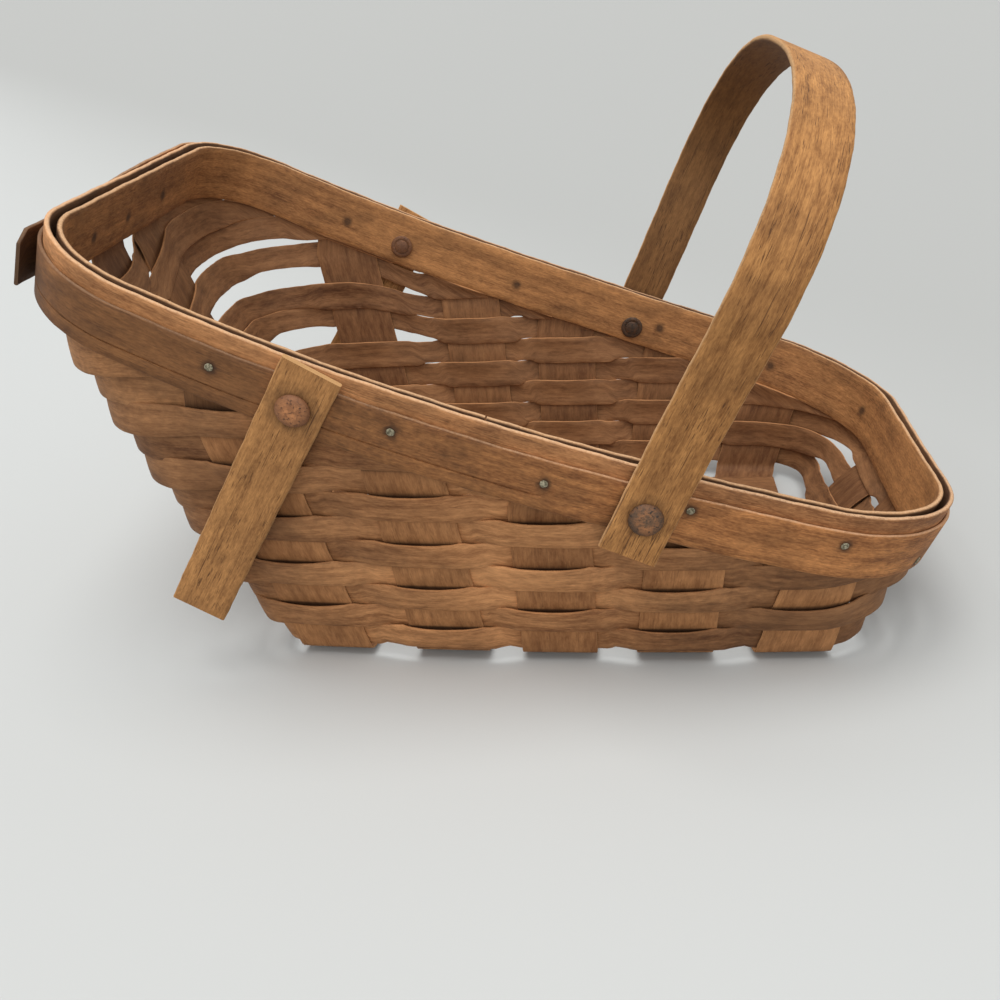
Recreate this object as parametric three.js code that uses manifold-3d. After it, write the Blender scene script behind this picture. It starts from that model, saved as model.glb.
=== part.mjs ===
// Vegetable basket: woven wood splints under a sloping rim, with a riveted swing hoop and two swing legs.
// Millimetres, +Z up, +X towards the low end, -Y is the near long side. The base rests on z = 0 and the
// origin is at the middle of the whole basket's footprint.
import * as THREE from 'three';
import { mergeVertices } from 'three/addons/utils/BufferGeometryUtils.js';
import Module from 'manifold-3d';

const wasm = await Module();
wasm.setup();

// Rim: an oval-cornered ring of bands on a slope, a little lower in the middle and fuller in its sides
const rimLength = 300.6;
const rimCentreHeight = 101.7;
const rimSlope = THREE.MathUtils.degToRad(20.6);
const rimSag = 7.3;
const rimSagLean = 2.5;
const rimSideBow = 10.5;
const rimHighCornerRadius = 34;
const rimLowCornerRadius = 49;
const sideFlare = THREE.MathUtils.degToRad(6.7);
const sideSpring = 2;

// Base: the flat woven floor
const baseHighEnd = -83;
const baseLowEnd = 103.5;
const baseWidth = 138;
const baseSideBow = 3;
const baseCornerRadius = 5;
const baseBendHeight = 5;

// Splints: the wide ones that carry the basket and the narrow weavers. The cross splints' places are
// along the floor, and along the rim on the near and on the far side
const splintWidth = 25.4;
const splintThickness = 1.0;
const weaverWidth = 8.5;
const weaverThickness = 0.9;
const weaveClearance = 0.4;
const crossSplintPositions = [-68, -27.4, 9.1, 47.5, 86];
const nearRimPositions = [-82, -27, 19.5, 64, 109];
const farRimPositions = [-84, -26, 19, 68, 112];
const longSplintOffset = 17;
const longSplintRimOffset = 18;
const fillerSplintOffset = 48.5;
const floorCrossingHold = 0.9;
const bendEase = 0.15;
const bandFootRun = 1.5;

// Weaver rows: level rings from the floor up, of which the lowest few pass below the low end's rim.
// The rests are what the wall has left above the last row's lower edge at each end
const rowCount = 12;
const closedRowCount = 3;
const firstRowHeight = 6.5;
const lowEndRest = 2.81;
const highEndRest = 19.05;
const rowSpread = 0.0086;
const rowGap = 0.24;
const looseCornerRises = [0, 0, 0, 0, 0, 1, 9, 8, 15.5, 18, 17, 16];
const cornerStepTilt = 1.1;
const weaverHold = 0.8;
const weaverStep = 6.5;
const shortestWeaverEnd = 2.2;
const weaverRimClearance = 0.5;
const highEndBulge = 5.5;

// Rim bands, from the inside out, and the loose lapped tail of the outermost one
const bandThickness = 1.6;
const bandGap = 2.0;
const innerBandWidth = 21;
const outerBandWidth = 19.5;
const wrapBandThickness = 1.2;
const wrapBandTop = 5.6;
const wrapBandBottom = 22.9;
const wrapFootClearance = 1.1;
const bandClearance = 0.3;
const bandSeamGap = 0.5;
const innerBandSeam = 0.5;
const outerBandSeam = 2.5;
const wrapLapStart = 34;
const wrapLapClimb = 4.1;
const wrapLapFrom = 13.2;
const wrapLapEase = 0.6;
const wrapTailFrom = 14.3;
const wrapEnd = 14.98;
const wrapTailReach = 70;
const wrapTailSplay = 0.06;
const splintTopBelowRim = 2.5;

// Swing hoop
const hoopPivotFromLowEnd = 104.1;
const pivotBelowRim = 14;
const hoopLean = THREE.MathUtils.degToRad(2.7);
const hoopHeight = 127;
const hoopShoulderStart = 66;
const hoopRoundness = 2.5;
const hoopFootLength = 14;
const hoopFlare = 5;
const stripWidth = 18.3;
const stripThickness = 1.9;
const washerThickness = 1.2;
const washerRadius = 5.5;

// Swing legs
const legPivotFromHighEnd = 89.9;
const legLean = THREE.MathUtils.degToRad(10.7);
const legLengthBelow = 88;
const legLengthAbove = 14.2;

// Rivets
const rivetShankRadius = 2.2;
const rivetHeadRadius = 5.3;
const rivetHeadHeight = 2.2;
const burrRadius = 4.6;
const burrThickness = 1.0;
const rivetTipRadius = 2.86;
const rivetTipHeight = 0.8;
const pinClearance = 0.3;

const wallHalf = bandGap / 2 + bandThickness;
const wrapInnerFace = wallHalf + bandClearance;
const wrapOuterFace = wrapInnerFace + wrapBandThickness;
const weaveOffset = splintThickness / 2 + weaverThickness / 2 + weaveClearance;
const baseMiddle = splintThickness / 2 + splintThickness + weaveClearance;
const wallTopBelowRim = wrapBandBottom + wrapFootClearance;
const hoopPivotAlongRim = rimLength / 2 - hoopPivotFromLowEnd;
const legPivotAlongRim = legPivotFromHighEnd - rimLength / 2;
const sectionsPerBend = [0.25, 0.5, 0.75];
const curveSteps = 960;
const walkSteps = 24;
const columnsAcross = 4;
const cornerColumnsAcross = 6;
const flatEnough = 0.02;
const stationsOnHold = 6;
const wallLevels = 5;
const roundSegments = 14;
const pinReach = 4;
const shortestStep = 0.4;
const slopeRise = 0.5;
const faceProbe = 2;

const up = new THREE.Vector3(0, 0, 1);
const rimAlong = new THREE.Vector3(Math.cos(rimSlope), 0, -Math.sin(rimSlope));
const rimNormal = new THREE.Vector3(Math.sin(rimSlope), 0, Math.cos(rimSlope));

function smooth(t) {
  const c = THREE.MathUtils.clamp(t, 0, 1);
  return c * c * (3 - 2 * c);
}

// One lap of an outline runs from 0 to 8: near side 0-1, corner 1-2, low end 2-3, corner 3-4,
// far side 4-5, corner 5-6, high end 6-7, corner 7-8.
function outlinePoint(lap, high, low, half, highRadius, lowRadius) {
  const side = ((Math.floor(lap) % 8) + 8) % 8;
  const t = lap - Math.floor(lap);
  const corner = (x, y, radius, start) => {
    const angle = start + (t * Math.PI) / 2;
    return [x + radius * Math.cos(angle), y + radius * Math.sin(angle)];
  };
  switch (side) {
    case 0:
      return [THREE.MathUtils.lerp(high + highRadius, low - lowRadius, t), -half];
    case 1:
      return corner(low - lowRadius, -half + lowRadius, lowRadius, -Math.PI / 2);
    case 2:
      return [low, THREE.MathUtils.lerp(-half + lowRadius, half - lowRadius, t)];
    case 3:
      return corner(low - lowRadius, half - lowRadius, lowRadius, 0);
    case 4:
      return [THREE.MathUtils.lerp(low - lowRadius, high + highRadius, t), half];
    case 5:
      return corner(high + highRadius, half - highRadius, highRadius, Math.PI / 2);
    case 6:
      return [high, THREE.MathUtils.lerp(half - highRadius, -half + highRadius, t)];
    default:
      return corner(high + highRadius, -half + highRadius, highRadius, Math.PI);
  }
}

function rimSagAt(along) {
  const t = THREE.MathUtils.clamp((2 * along) / rimLength, -1.05, 1.05);
  return -(rimSag - rimSagLean * t) * (1 - t * t);
}

function rimHeightAt(along) {
  return rimCentreHeight - along * Math.sin(rimSlope) + rimSagAt(along) * Math.cos(rimSlope);
}

// Half of the width over the outer band at a place along the rim
function rimHalfWidthAt(along) {
  const t = THREE.MathUtils.clamp((2 * along) / rimLength, -1, 1);
  const flared = baseWidth / 2 + sideSpring + rimHeightAt(along) * Math.tan(sideFlare);
  return flared + rimSideBow * (1 - t * t);
}

// A point of the rim: the lap, how far inside the outer band's face, and how far below the rim's top edge
function rimPoint(lap, inset, below) {
  const half = rimHalfWidthAt(0);
  const reach = rimLength / 2 - inset;
  const [along, across] = outlinePoint(
    lap, -reach, reach, half - inset, rimHighCornerRadius - inset, rimLowCornerRadius - inset);
  const share = across / (half - inset);
  const width = rimHalfWidthAt(along) - inset - below * Math.tan(sideFlare);
  const point = rimAlong.clone().multiplyScalar(along);
  point.addScaledVector(rimNormal, rimSagAt(along) - below);
  point.y = share * width;
  point.z += rimCentreHeight;
  return point;
}

function basePoint(lap) {
  const half = baseWidth / 2;
  const [x, y] = outlinePoint(lap, baseHighEnd, baseLowEnd, half, baseCornerRadius, baseCornerRadius);
  const middle = (baseHighEnd + baseLowEnd) / 2;
  const t = (2 * (x - middle)) / (baseLowEnd - baseHighEnd);
  const bow = baseSideBow * (1 - t * t) * (y / half);
  return new THREE.Vector3(x, y + bow, 0);
}

// How much a place belongs to the high end wall: 1 across the end, easing to 0 along the sides
function highEndShare(lap) {
  const l = ((lap % 8) + 8) % 8;
  const distance = l > 4 ? Math.abs(l - 6.5) : l + 1.5;
  return 1 - smooth((distance - 0.5) / 1.4);
}

// The far corner of the high end, where the weaver rows lie further apart
function looseCornerShare(lap) {
  const l = ((lap % 8) + 8) % 8;
  return smooth((l - 4.66) / 0.22) * (1 - smooth((l - 5.9) / 0.4));
}

const wallTopCache = new Map();
function wallTop(lap) {
  const key = Math.round(lap * 1e6);
  if (!wallTopCache.has(key)) {
    wallTopCache.set(key, { foot: basePoint(lap), head: rimPoint(lap, wallHalf, wallTopBelowRim) });
  }
  return wallTopCache.get(key);
}

// Middle surface of the wall at a place round the basket and a height above the table
function wallPoint(lap, height) {
  const { foot, head } = wallTop(lap);
  const t = height / head.z;
  const point = foot.clone().lerp(head, t);
  point.x -= highEndBulge * highEndShare(lap) * Math.sin(Math.PI * THREE.MathUtils.clamp(t, 0, 1));
  return point;
}

function wallFrame(lap, height) {
  const step = 0.004;
  const around = wallPoint(lap + step, height).sub(wallPoint(lap - step, height)).normalize();
  const slope = wallPoint(lap, height + slopeRise).sub(wallPoint(lap, height - slopeRise));
  const stretch = slope.length() / (2 * slopeRise);
  const normal = around.clone().cross(slope.normalize()).normalize();
  return { around, normal, stretch };
}

// A level or nearly level curve round the wall, with the distance run along it
function wallCurve(heightAt) {
  const samples = [];
  const steps = curveSteps;
  let run = 0;
  let last = null;
  for (let i = 0; i <= steps; i += 1) {
    const lap = 2.5 + (8 * i) / steps;
    const point = wallPoint(lap, heightAt(lap));
    if (last) {
      run += point.distanceTo(last);
    }
    samples.push({ lap, run });
    last = point;
  }
  const find = (from, to, value) => {
    let low = 0;
    let high = steps;
    while (high - low > 1) {
      const middle = (low + high) >> 1;
      if (samples[middle][from] <= value) {
        low = middle;
      } else {
        high = middle;
      }
    }
    const a = samples[low];
    const b = samples[high];
    const t = (value - a[from]) / (b[from] - a[from]);
    return THREE.MathUtils.lerp(a[to], b[to], t);
  };
  return {
    length: run,
    lapAt: (distance) => find('run', 'lap', distance),
    runAt: (lap) => find('lap', 'run', lap),
  };
}

// Places where the upright splints stand, in order from the low end round the far side
function sideShare(position, first, last) {
  return (position - first) / (last - first);
}

const baseFirst = baseHighEnd + baseCornerRadius;
const baseLast = baseLowEnd - baseCornerRadius;
const rimFirst = -(rimLength / 2) + rimHighCornerRadius;
const rimLast = rimLength / 2 - rimLowCornerRadius;
const endHalfBase = baseWidth / 2 - baseCornerRadius;

// A place along the rim as a share of its straight side, running on into the low end's corner
function rimShare(position) {
  const past = Math.max(0, position - rimLast);
  const quarterArc = (rimLowCornerRadius * Math.PI) / 2;
  return sideShare(position - past, rimFirst, rimLast) + past / quarterArc;
}

function endShare(offset, half) {
  return (offset + half) / (2 * half);
}

const uprights = [];
const endHalfLow = rimHalfWidthAt(0) - rimLowCornerRadius;
const endHalfHigh = rimHalfWidthAt(0) - rimHighCornerRadius;
const fanLow = (longSplintRimOffset * rimHalfWidthAt(0)) / rimHalfWidthAt(rimLength / 2);
const fanHigh = (longSplintRimOffset * rimHalfWidthAt(0)) / rimHalfWidthAt(-rimLength / 2);
crossSplintPositions.forEach((position, i) => {
  const base = sideShare(position, baseFirst, baseLast);
  const nearRim = rimShare(nearRimPositions[i]);
  const farRim = rimShare(farRimPositions[i]);
  const columns = position + splintWidth / 2 > baseLast ? cornerColumnsAcross : columnsAcross;
  uprights.push({ base: 8 + base, rim: 8 + nearRim, order: i, columns, wall: 'near', name: `near${i}` });
  uprights.push({ base: 5 - base, rim: 5 - farRim, order: 11 - i, columns, wall: 'far', name: `far${i}` });
});
[-1, 1].forEach((side, i) => {
  uprights.push({
    base: 2 + endShare(side * longSplintOffset, endHalfBase),
    rim: 2 + endShare(side * fanLow, endHalfLow),
    order: 5 + i,
    columns: columnsAcross,
    wall: 'low',
    name: `low${i}`,
  });
  uprights.push({
    base: 7 - endShare(side * longSplintOffset, endHalfBase),
    rim: 7 - endShare(side * fanHigh, endHalfHigh),
    order: 13 - i,
    columns: columnsAcross,
    wall: 'high',
    name: `high${i}`,
  });
});

function uprightLap(upright, height) {
  const top = wallTop(upright.rim).head.z;
  const t = THREE.MathUtils.clamp(height / top, 0, 1);
  return THREE.MathUtils.lerp(upright.base, upright.rim, t);
}

// A closed body from a run of sections, each a loop of points given in the same order
function loft(sections, closed) {
  const size = sections[0].length;
  const positions = [];
  sections.forEach((section) => {
    section.forEach((p) => positions.push(p.x, p.y, p.z));
  });
  const index = [];
  const count = sections.length;
  const spans = closed ? count : count - 1;
  for (let i = 0; i < spans; i += 1) {
    const a = i * size;
    const b = ((i + 1) % count) * size;
    for (let j = 0; j < size; j += 1) {
      const k = (j + 1) % size;
      index.push(a + j, b + j, b + k, a + j, b + k, a + k);
    }
  }
  if (!closed) {
    const last = (count - 1) * size;
    const half = size / 2;
    for (let j = 0; j < half - 1; j += 1) {
      const k = size - 1 - j;
      index.push(j, j + 1, k, j + 1, k - 1, k);
      index.push(last + j, last + k, last + j + 1, last + j + 1, last + k, last + k - 1);
    }
  }
  const geometry = new THREE.BufferGeometry();
  geometry.setAttribute('position', new THREE.Float32BufferAttribute(positions, 3));
  geometry.setIndex(index);
  return outward(geometry);
}

function signedVolume(geometry) {
  const position = geometry.attributes.position;
  const index = geometry.index;
  const a = new THREE.Vector3();
  const b = new THREE.Vector3();
  const c = new THREE.Vector3();
  let volume = 0;
  for (let i = 0; i < index.count; i += 3) {
    a.fromBufferAttribute(position, index.getX(i));
    b.fromBufferAttribute(position, index.getX(i + 1));
    c.fromBufferAttribute(position, index.getX(i + 2));
    volume += a.dot(b.cross(c)) / 6;
  }
  return volume;
}

// Turns every face round where a loft came out facing in
function outward(geometry) {
  if (signedVolume(geometry) < 0) {
    const array = geometry.index.array;
    for (let i = 0; i < array.length; i += 3) {
      const held = array[i + 1];
      array[i + 1] = array[i + 2];
      array[i + 2] = held;
    }
  }
  return geometry;
}

function toSolid(geometry) {
  const bare = geometry.clone();
  bare.deleteAttribute('normal');
  bare.deleteAttribute('uv');
  const merged = mergeVertices(bare, 1e-4);
  return new wasm.Manifold(new wasm.Mesh({
    numProp: 3,
    vertProperties: new Float32Array(merged.attributes.position.array),
    triVerts: new Uint32Array(merged.index.array),
  }));
}

function toGeometry(solid) {
  const mesh = solid.getMesh();
  const geometry = new THREE.BufferGeometry();
  geometry.setAttribute('position', new THREE.Float32BufferAttribute(mesh.vertProperties, 3));
  geometry.setIndex(new THREE.Uint32BufferAttribute(mesh.triVerts, 1));
  return geometry;
}

function cut(geometry, cutters) {
  let solid = toSolid(geometry);
  cutters.forEach((cutter) => {
    solid = solid.subtract(toSolid(cutter));
  });
  return toGeometry(solid);
}

// Splints

// Section of an upright splint where it lies in the wall, listed from -X to +X on both long sides
function uprightSection(upright, height, nearToFar) {
  const curve = wallCurve(() => height);
  const centre = curve.runAt(uprightLap(upright, height));
  const outer = [];
  const inner = [];
  for (let i = 0; i <= upright.columns; i += 1) {
    const across = splintWidth * (i / upright.columns - 0.5) * nearToFar;
    const lap = curve.lapAt(centre + across);
    const point = wallPoint(lap, height);
    const { normal } = wallFrame(lap, height);
    outer.push(point.clone().addScaledVector(normal, splintThickness / 2));
    inner.push(point.clone().addScaledVector(normal, -splintThickness / 2));
  }
  return { outer, inner };
}

// Above the wall's top the splint stands between the rim bands
function bandSection(upright, below, nearToFar) {
  const outer = [];
  const inner = [];
  for (let i = 0; i <= upright.columns; i += 1) {
    const across = splintWidth * (i / upright.columns - 0.5) * nearToFar;
    const lap = bandLapAt(upright.rim, across, below);
    outer.push(rimPoint(lap, wallHalf - splintThickness / 2, below));
    inner.push(rimPoint(lap, wallHalf + splintThickness / 2, below));
  }
  return { outer, inner };
}

// Walks a distance along the rim from a place on it
function bandLapAt(lap, distance, below) {
  const stride = distance / walkSteps;
  let place = lap;
  for (let i = 0; i < walkSteps; i += 1) {
    const ahead = rimPoint(place + 0.002, wallHalf, below);
    const behind = rimPoint(place - 0.002, wallHalf, below);
    place += (stride * 0.004) / ahead.distanceTo(behind);
  }
  return place;
}

function loopOf(section) {
  return [...section.outer, ...section.inner.slice().reverse()];
}

// Height of a floor splint's middle where it passes over or under the splints that cross it
function floorHeightAt(position, crossings) {
  let height = null;
  const reach = splintWidth / 2 + floorCrossingHold;
  for (let i = 0; i < crossings.length; i += 1) {
    const { at, over } = crossings[i];
    const level = baseMiddle + (over ? 1 : -1) * (splintThickness + weaveClearance);
    if (position <= at - reach) {
      if (height === null) {
        return level;
      }
      const before = crossings[i - 1];
      const from = before.at + reach;
      const t = smooth((position - from) / (at - reach - from));
      return THREE.MathUtils.lerp(height, level, t);
    }
    if (position <= at + reach) {
      return level;
    }
    height = level;
  }
  return height;
}

function floorStations(crossings, first, last) {
  const reach = splintWidth / 2 + floorCrossingHold;
  const places = [first];
  crossings.forEach(({ at }, i) => {
    places.push(at - reach, at + reach);
    if (i < crossings.length - 1) {
      const next = crossings[i + 1].at - reach;
      places.push(THREE.MathUtils.lerp(at + reach, next, 1 / 3));
      places.push(THREE.MathUtils.lerp(at + reach, next, 2 / 3));
    }
  });
  places.push(last);
  return places.filter((p) => p >= first && p <= last).sort((a, b) => a - b)
    .filter((p, i, all) => i === 0 || p - all[i - 1] > shortestStep);
}

function flatSection(centre, across, columns) {
  const outer = [];
  const inner = [];
  for (let i = 0; i <= columns; i += 1) {
    const shift = splintWidth * (i / columns - 0.5);
    const point = centre.clone().addScaledVector(across, shift);
    outer.push(point.clone().addScaledVector(up, -splintThickness / 2));
    inner.push(point.clone().addScaledVector(up, splintThickness / 2));
  }
  return { outer, inner };
}

// Rounds the corner between the floor and the wall
function bendSections(wall, floor, corner) {
  return sectionsPerBend.map((t) => {
    const mix = (a, b, c) => {
      const p = a.clone().multiplyScalar((1 - t) * (1 - t));
      p.addScaledVector(c, 2 * t * (1 - t));
      p.addScaledVector(b, t * t);
      return p;
    };
    const outer = wall.outer.map((p, i) => mix(p, floor.outer[i], corner.outer[i]));
    const inner = wall.inner.map((p, i) => mix(p, floor.inner[i], corner.inner[i]));
    return { outer, inner };
  });
}

function cornerOf(wall, floor) {
  const meet = (a, b) => {
    const point = a.clone().lerp(b, bendEase);
    point.z = b.z;
    return point;
  };
  return {
    outer: wall.outer.map((p, i) => meet(p, floor.outer[i])),
    inner: wall.inner.map((p, i) => meet(p, floor.inner[i])),
  };
}

function wallSections(upright, nearToFar) {
  const top = wallTop(upright.rim).head.z;
  const sections = [];
  sections.push(bandSection(upright, splintTopBelowRim, nearToFar));
  sections.push(bandSection(upright, (splintTopBelowRim + wallTopBelowRim) / 2, nearToFar));
  sections.push(bandSection(upright, wallTopBelowRim - bandFootRun, nearToFar));
  for (let i = 0; i <= wallLevels; i += 1) {
    const height = THREE.MathUtils.lerp(top - bandFootRun, baseBendHeight, i / wallLevels);
    sections.push(uprightSection(upright, height, nearToFar));
  }
  return sections;
}

function crossSplint(i) {
  const near = uprights.find((u) => u.name === `near${i}`);
  const far = uprights.find((u) => u.name === `far${i}`);
  const position = crossSplintPositions[i];
  const nearWall = wallSections(near, 1);
  const farWall = wallSections(far, -1).reverse();
  const edge = baseWidth / 2 - baseBendHeight;
  const across = new THREE.Vector3(1, 0, 0);
  const floorNear = flatSection(new THREE.Vector3(position, -edge, baseMiddle), across, near.columns);
  const floorFar = flatSection(new THREE.Vector3(position, edge, baseMiddle), across, far.columns);
  const nearEnd = nearWall[nearWall.length - 1];
  const farEnd = farWall[0];
  const sections = [
    ...nearWall,
    ...bendSections(nearEnd, floorNear, cornerOf(nearEnd, floorNear)),
    floorNear,
    floorFar,
    ...bendSections(farEnd, floorFar, cornerOf(farEnd, floorFar)).reverse(),
    ...farWall,
  ];
  return loft(sections.map(loopOf), false);
}

function floorRun(crossings, first, last, offset) {
  const across = new THREE.Vector3(0, -1, 0);
  return floorStations(crossings, first, last).map((x) => (
    flatSection(new THREE.Vector3(x, offset, floorHeightAt(x, crossings)), across, columnsAcross)));
}

function longCrossings(order) {
  return crossSplintPositions.map((at, i) => ({ at, over: (i + order) % 2 === 0 }));
}

function longSplint(i) {
  const side = i === 0 ? -1 : 1;
  const high = uprights.find((u) => u.name === `high${i}`);
  const low = uprights.find((u) => u.name === `low${i}`);
  const highWall = wallSections(high, 1);
  const lowWall = wallSections(low, -1).reverse();
  const first = baseHighEnd + baseBendHeight;
  const last = baseLowEnd - baseBendHeight;
  const floor = floorRun(longCrossings(i), first, last, side * longSplintOffset);
  const highEnd = highWall[highWall.length - 1];
  const lowEnd = lowWall[0];
  const floorHigh = floor[0];
  const floorLow = floor[floor.length - 1];
  const sections = [
    ...highWall,
    ...bendSections(highEnd, floorHigh, cornerOf(highEnd, floorHigh)),
    ...floor,
    ...bendSections(lowEnd, floorLow, cornerOf(lowEnd, floorLow)).reverse(),
    ...lowWall,
  ];
  return loft(sections.map(loopOf), false);
}

function fillerSplint(i) {
  const side = i === 0 ? -1 : 1;
  const first = baseHighEnd + baseBendHeight;
  const last = baseLowEnd - baseBendHeight;
  const floor = floorRun(longCrossings(i + 1), first, last, side * fillerSplintOffset);
  return loft(floor.map(loopOf), false);
}

// Weaver rows

// The rows share out the wall's height at the two ends, and run straight between them
function pitchFor(lap, rest, rows) {
  const steps = rows - 1;
  return (wallTop(lap).head.z - rest - firstRowHeight) / (steps * (1 + rowSpread * steps));
}

const lowEndPitch = pitchFor(2.5, lowEndRest, closedRowCount);
const highEndPitch = pitchFor(6.5, highEndRest, rowCount);

function rowPitchAt(lap) {
  return THREE.MathUtils.mapLinear(basePoint(lap).x, baseHighEnd, baseLowEnd, highEndPitch, lowEndPitch);
}

function rowHeightAt(row, lap) {
  const n = row - 1;
  const level = firstRowHeight + rowPitchAt(lap) * n * (1 + rowSpread * n);
  return level + looseCornerRises[n] * looseCornerShare(lap);
}

function weaverTopAt(row, lap) {
  const height = rowHeightAt(row, lap);
  const width = Math.min(weaverWidth, rowPitchAt(lap) - rowGap);
  const { stretch } = wallFrame(lap, height);
  const limit = wallTop(lap).head.z - weaverRimClearance;
  return { bottom: height, top: Math.min(height + width / stretch, limit), stretch };
}

function weaverStations(row) {
  const curve = wallCurve((lap) => rowHeightAt(row, lap));
  const reach = splintWidth / 2 + weaverHold;
  const stops = uprights.map((upright) => {
    const lap = uprightLap(upright, rowHeightAt(row, upright.rim) + weaverWidth / 2);
    const inside = (row + upright.order) % 2 === 1;
    return { run: curve.runAt(lap), offset: inside ? -weaveOffset : weaveOffset, wall: upright.wall };
  }).sort((a, b) => a.run - b.run);
  const stations = [];
  const add = (run, offset, twist) => {
    const wrapped = ((run % curve.length) + curve.length) % curve.length;
    const lap = curve.lapAt(wrapped);
    stations.push({ run: wrapped, lap, offset, tilt: twist * (1 - looseCornerShare(lap)) });
  };
  stops.forEach((stop, i) => {
    const next = stops[(i + 1) % stops.length];
    for (let j = 0; j <= stationsOnHold; j += 1) {
      const run = stop.run + reach * ((2 * j) / stationsOnHold - 1);
      const flat = turnAt(curve, run, reach / 2) < flatEnough;
      if (j === 0 || j === stationsOnHold || !flat) {
        add(run, stop.offset, 0);
      }
    }
    const from = stop.run + reach;
    const to = (i === stops.length - 1 ? next.run + curve.length : next.run) - reach;
    const span = to - from;
    const pieces = Math.max(3, Math.round(span / weaverStep));
    for (let j = 1; j < pieces; j += 1) {
      const t = j / pieces;
      const twist = next.wall === stop.wall ? 0 : cornerStepTilt * Math.sin(Math.PI * t);
      add(from + span * t, THREE.MathUtils.lerp(stop.offset, next.offset, smooth(t)), twist);
    }
  });
  return stations.sort((a, b) => a.run - b.run);
}

// How sharply the wall turns at a place on a level curve
function turnAt(curve, run, reach) {
  const wrap = (value) => ((value % curve.length) + curve.length) % curve.length;
  const a = basePoint(curve.lapAt(wrap(run - reach)));
  const b = basePoint(curve.lapAt(wrap(run)));
  const c = basePoint(curve.lapAt(wrap(run + reach)));
  const before = b.clone().sub(a).normalize();
  const after = c.clone().sub(b).normalize();
  return before.angleTo(after);
}

function weaver(row) {
  const stations = weaverStations(row).map((station) => {
    const { bottom, top, stretch } = weaverTopAt(row, station.lap);
    return { ...station, bottom, top, tall: (top - bottom) * stretch };
  });
  const kept = stations.filter((station) => station.tall >= shortestWeaverEnd);
  const closed = kept.length === stations.length;
  const sections = kept.map((station) => {
    const { lap, offset, tilt, bottom, top } = station;
    const low = wallPoint(lap, bottom);
    const high = wallPoint(lap, top);
    const { normal } = wallFrame(lap, (bottom + top) / 2);
    const half = weaverThickness / 2;
    return [
      low.clone().addScaledVector(normal, offset + tilt - half),
      low.clone().addScaledVector(normal, offset + tilt + half),
      high.clone().addScaledVector(normal, offset - tilt + half),
      high.clone().addScaledVector(normal, offset - tilt - half),
    ];
  });
  return loft(sections, closed);
}

// Rim bands

function bandLaps(start, end) {
  const laps = [];
  const steps = [10, 10, 3, 10, 10, 10, 3, 10];
  for (let turn = -1; turn < 3; turn += 1) {
    steps.forEach((count, side) => {
      for (let i = 0; i < count; i += 1) {
        laps.push(8 * turn + side + i / count);
      }
    });
  }
  return [start, ...laps.filter((lap) => lap > start + 0.01 && lap < end - 0.01), end];
}

// A band's section: how far in its outer face lies, its thickness, and its top and bottom below the rim
function bandLoop(lap, inset, thickness, top, bottom) {
  return [
    rimPoint(lap, inset + thickness, bottom),
    rimPoint(lap, inset, bottom),
    rimPoint(lap, inset, top),
    rimPoint(lap, inset + thickness, top),
  ];
}

function seamedBand(inset, width, seam) {
  const gap = bandSeamGap / (rimLast - rimFirst);
  const laps = bandLaps(seam + gap, seam + 8 - gap);
  return loft(laps.map((lap) => bandLoop(lap, inset, bandThickness, 0, width)), false);
}

// The outermost band runs round once and laps over its own start on the high end, where it climbs a little.
// Its tail sinks back and runs straight on past the corner
function wrapBand() {
  const start = 6 + endShare(-wrapLapStart, endHalfHigh);
  const face = wallHalf - wrapOuterFace;
  const sections = bandLaps(start, wrapEnd).map((lap) => {
    const over = smooth((lap - wrapLapFrom) / wrapLapEase);
    const sunk = smooth((lap - wrapTailFrom) / (wrapEnd - wrapTailFrom));
    const inset = face - over * (wrapBandThickness + bandClearance);
    const climb = wrapLapClimb * over * (1 - sunk);
    return bandLoop(lap, inset, wrapBandThickness, wrapBandTop - climb, wrapBandBottom - climb);
  });
  const last = sections[sections.length - 1];
  const reach = Math.max(1, wrapTailReach + last[0].y);
  sections.push(last.map((p) => p.clone().add(new THREE.Vector3(-reach * wrapTailSplay, -reach, 0))));
  return loft(sections, false);
}

// Where the rivets go through, on the face of the outermost band
function pivotFrame(along, side) {
  const lap = side < 0 ? rimShare(along) : 5 - rimShare(along);
  const inset = wallHalf - wrapOuterFace;
  const faceAt = (at, below) => rimPoint(at, inset, below);
  const place = faceAt(lap, pivotBelowRim);
  const alongStep = faceAt(lap + 0.01, pivotBelowRim).sub(faceAt(lap - 0.01, pivotBelowRim));
  const downStep = faceAt(lap, pivotBelowRim + faceProbe).sub(faceAt(lap, pivotBelowRim - faceProbe));
  const normal = alongStep.clone().cross(downStep).normalize();
  if (normal.y * side < 0) {
    normal.negate();
  }
  return { place, normal };
}

function placedAlong(geometry, place, direction) {
  const turn = new THREE.Quaternion().setFromUnitVectors(up, direction);
  const moved = geometry.clone();
  moved.applyQuaternion(turn);
  moved.translate(place.x, place.y, place.z);
  return moved;
}

function pinCutter(place, direction, radius, from, to) {
  const hole = new THREE.CylinderGeometry(radius, radius, to - from, roundSegments);
  hole.rotateX(Math.PI / 2);
  hole.translate(0, 0, (from + to) / 2);
  return placedAlong(hole, place, direction);
}

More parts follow.
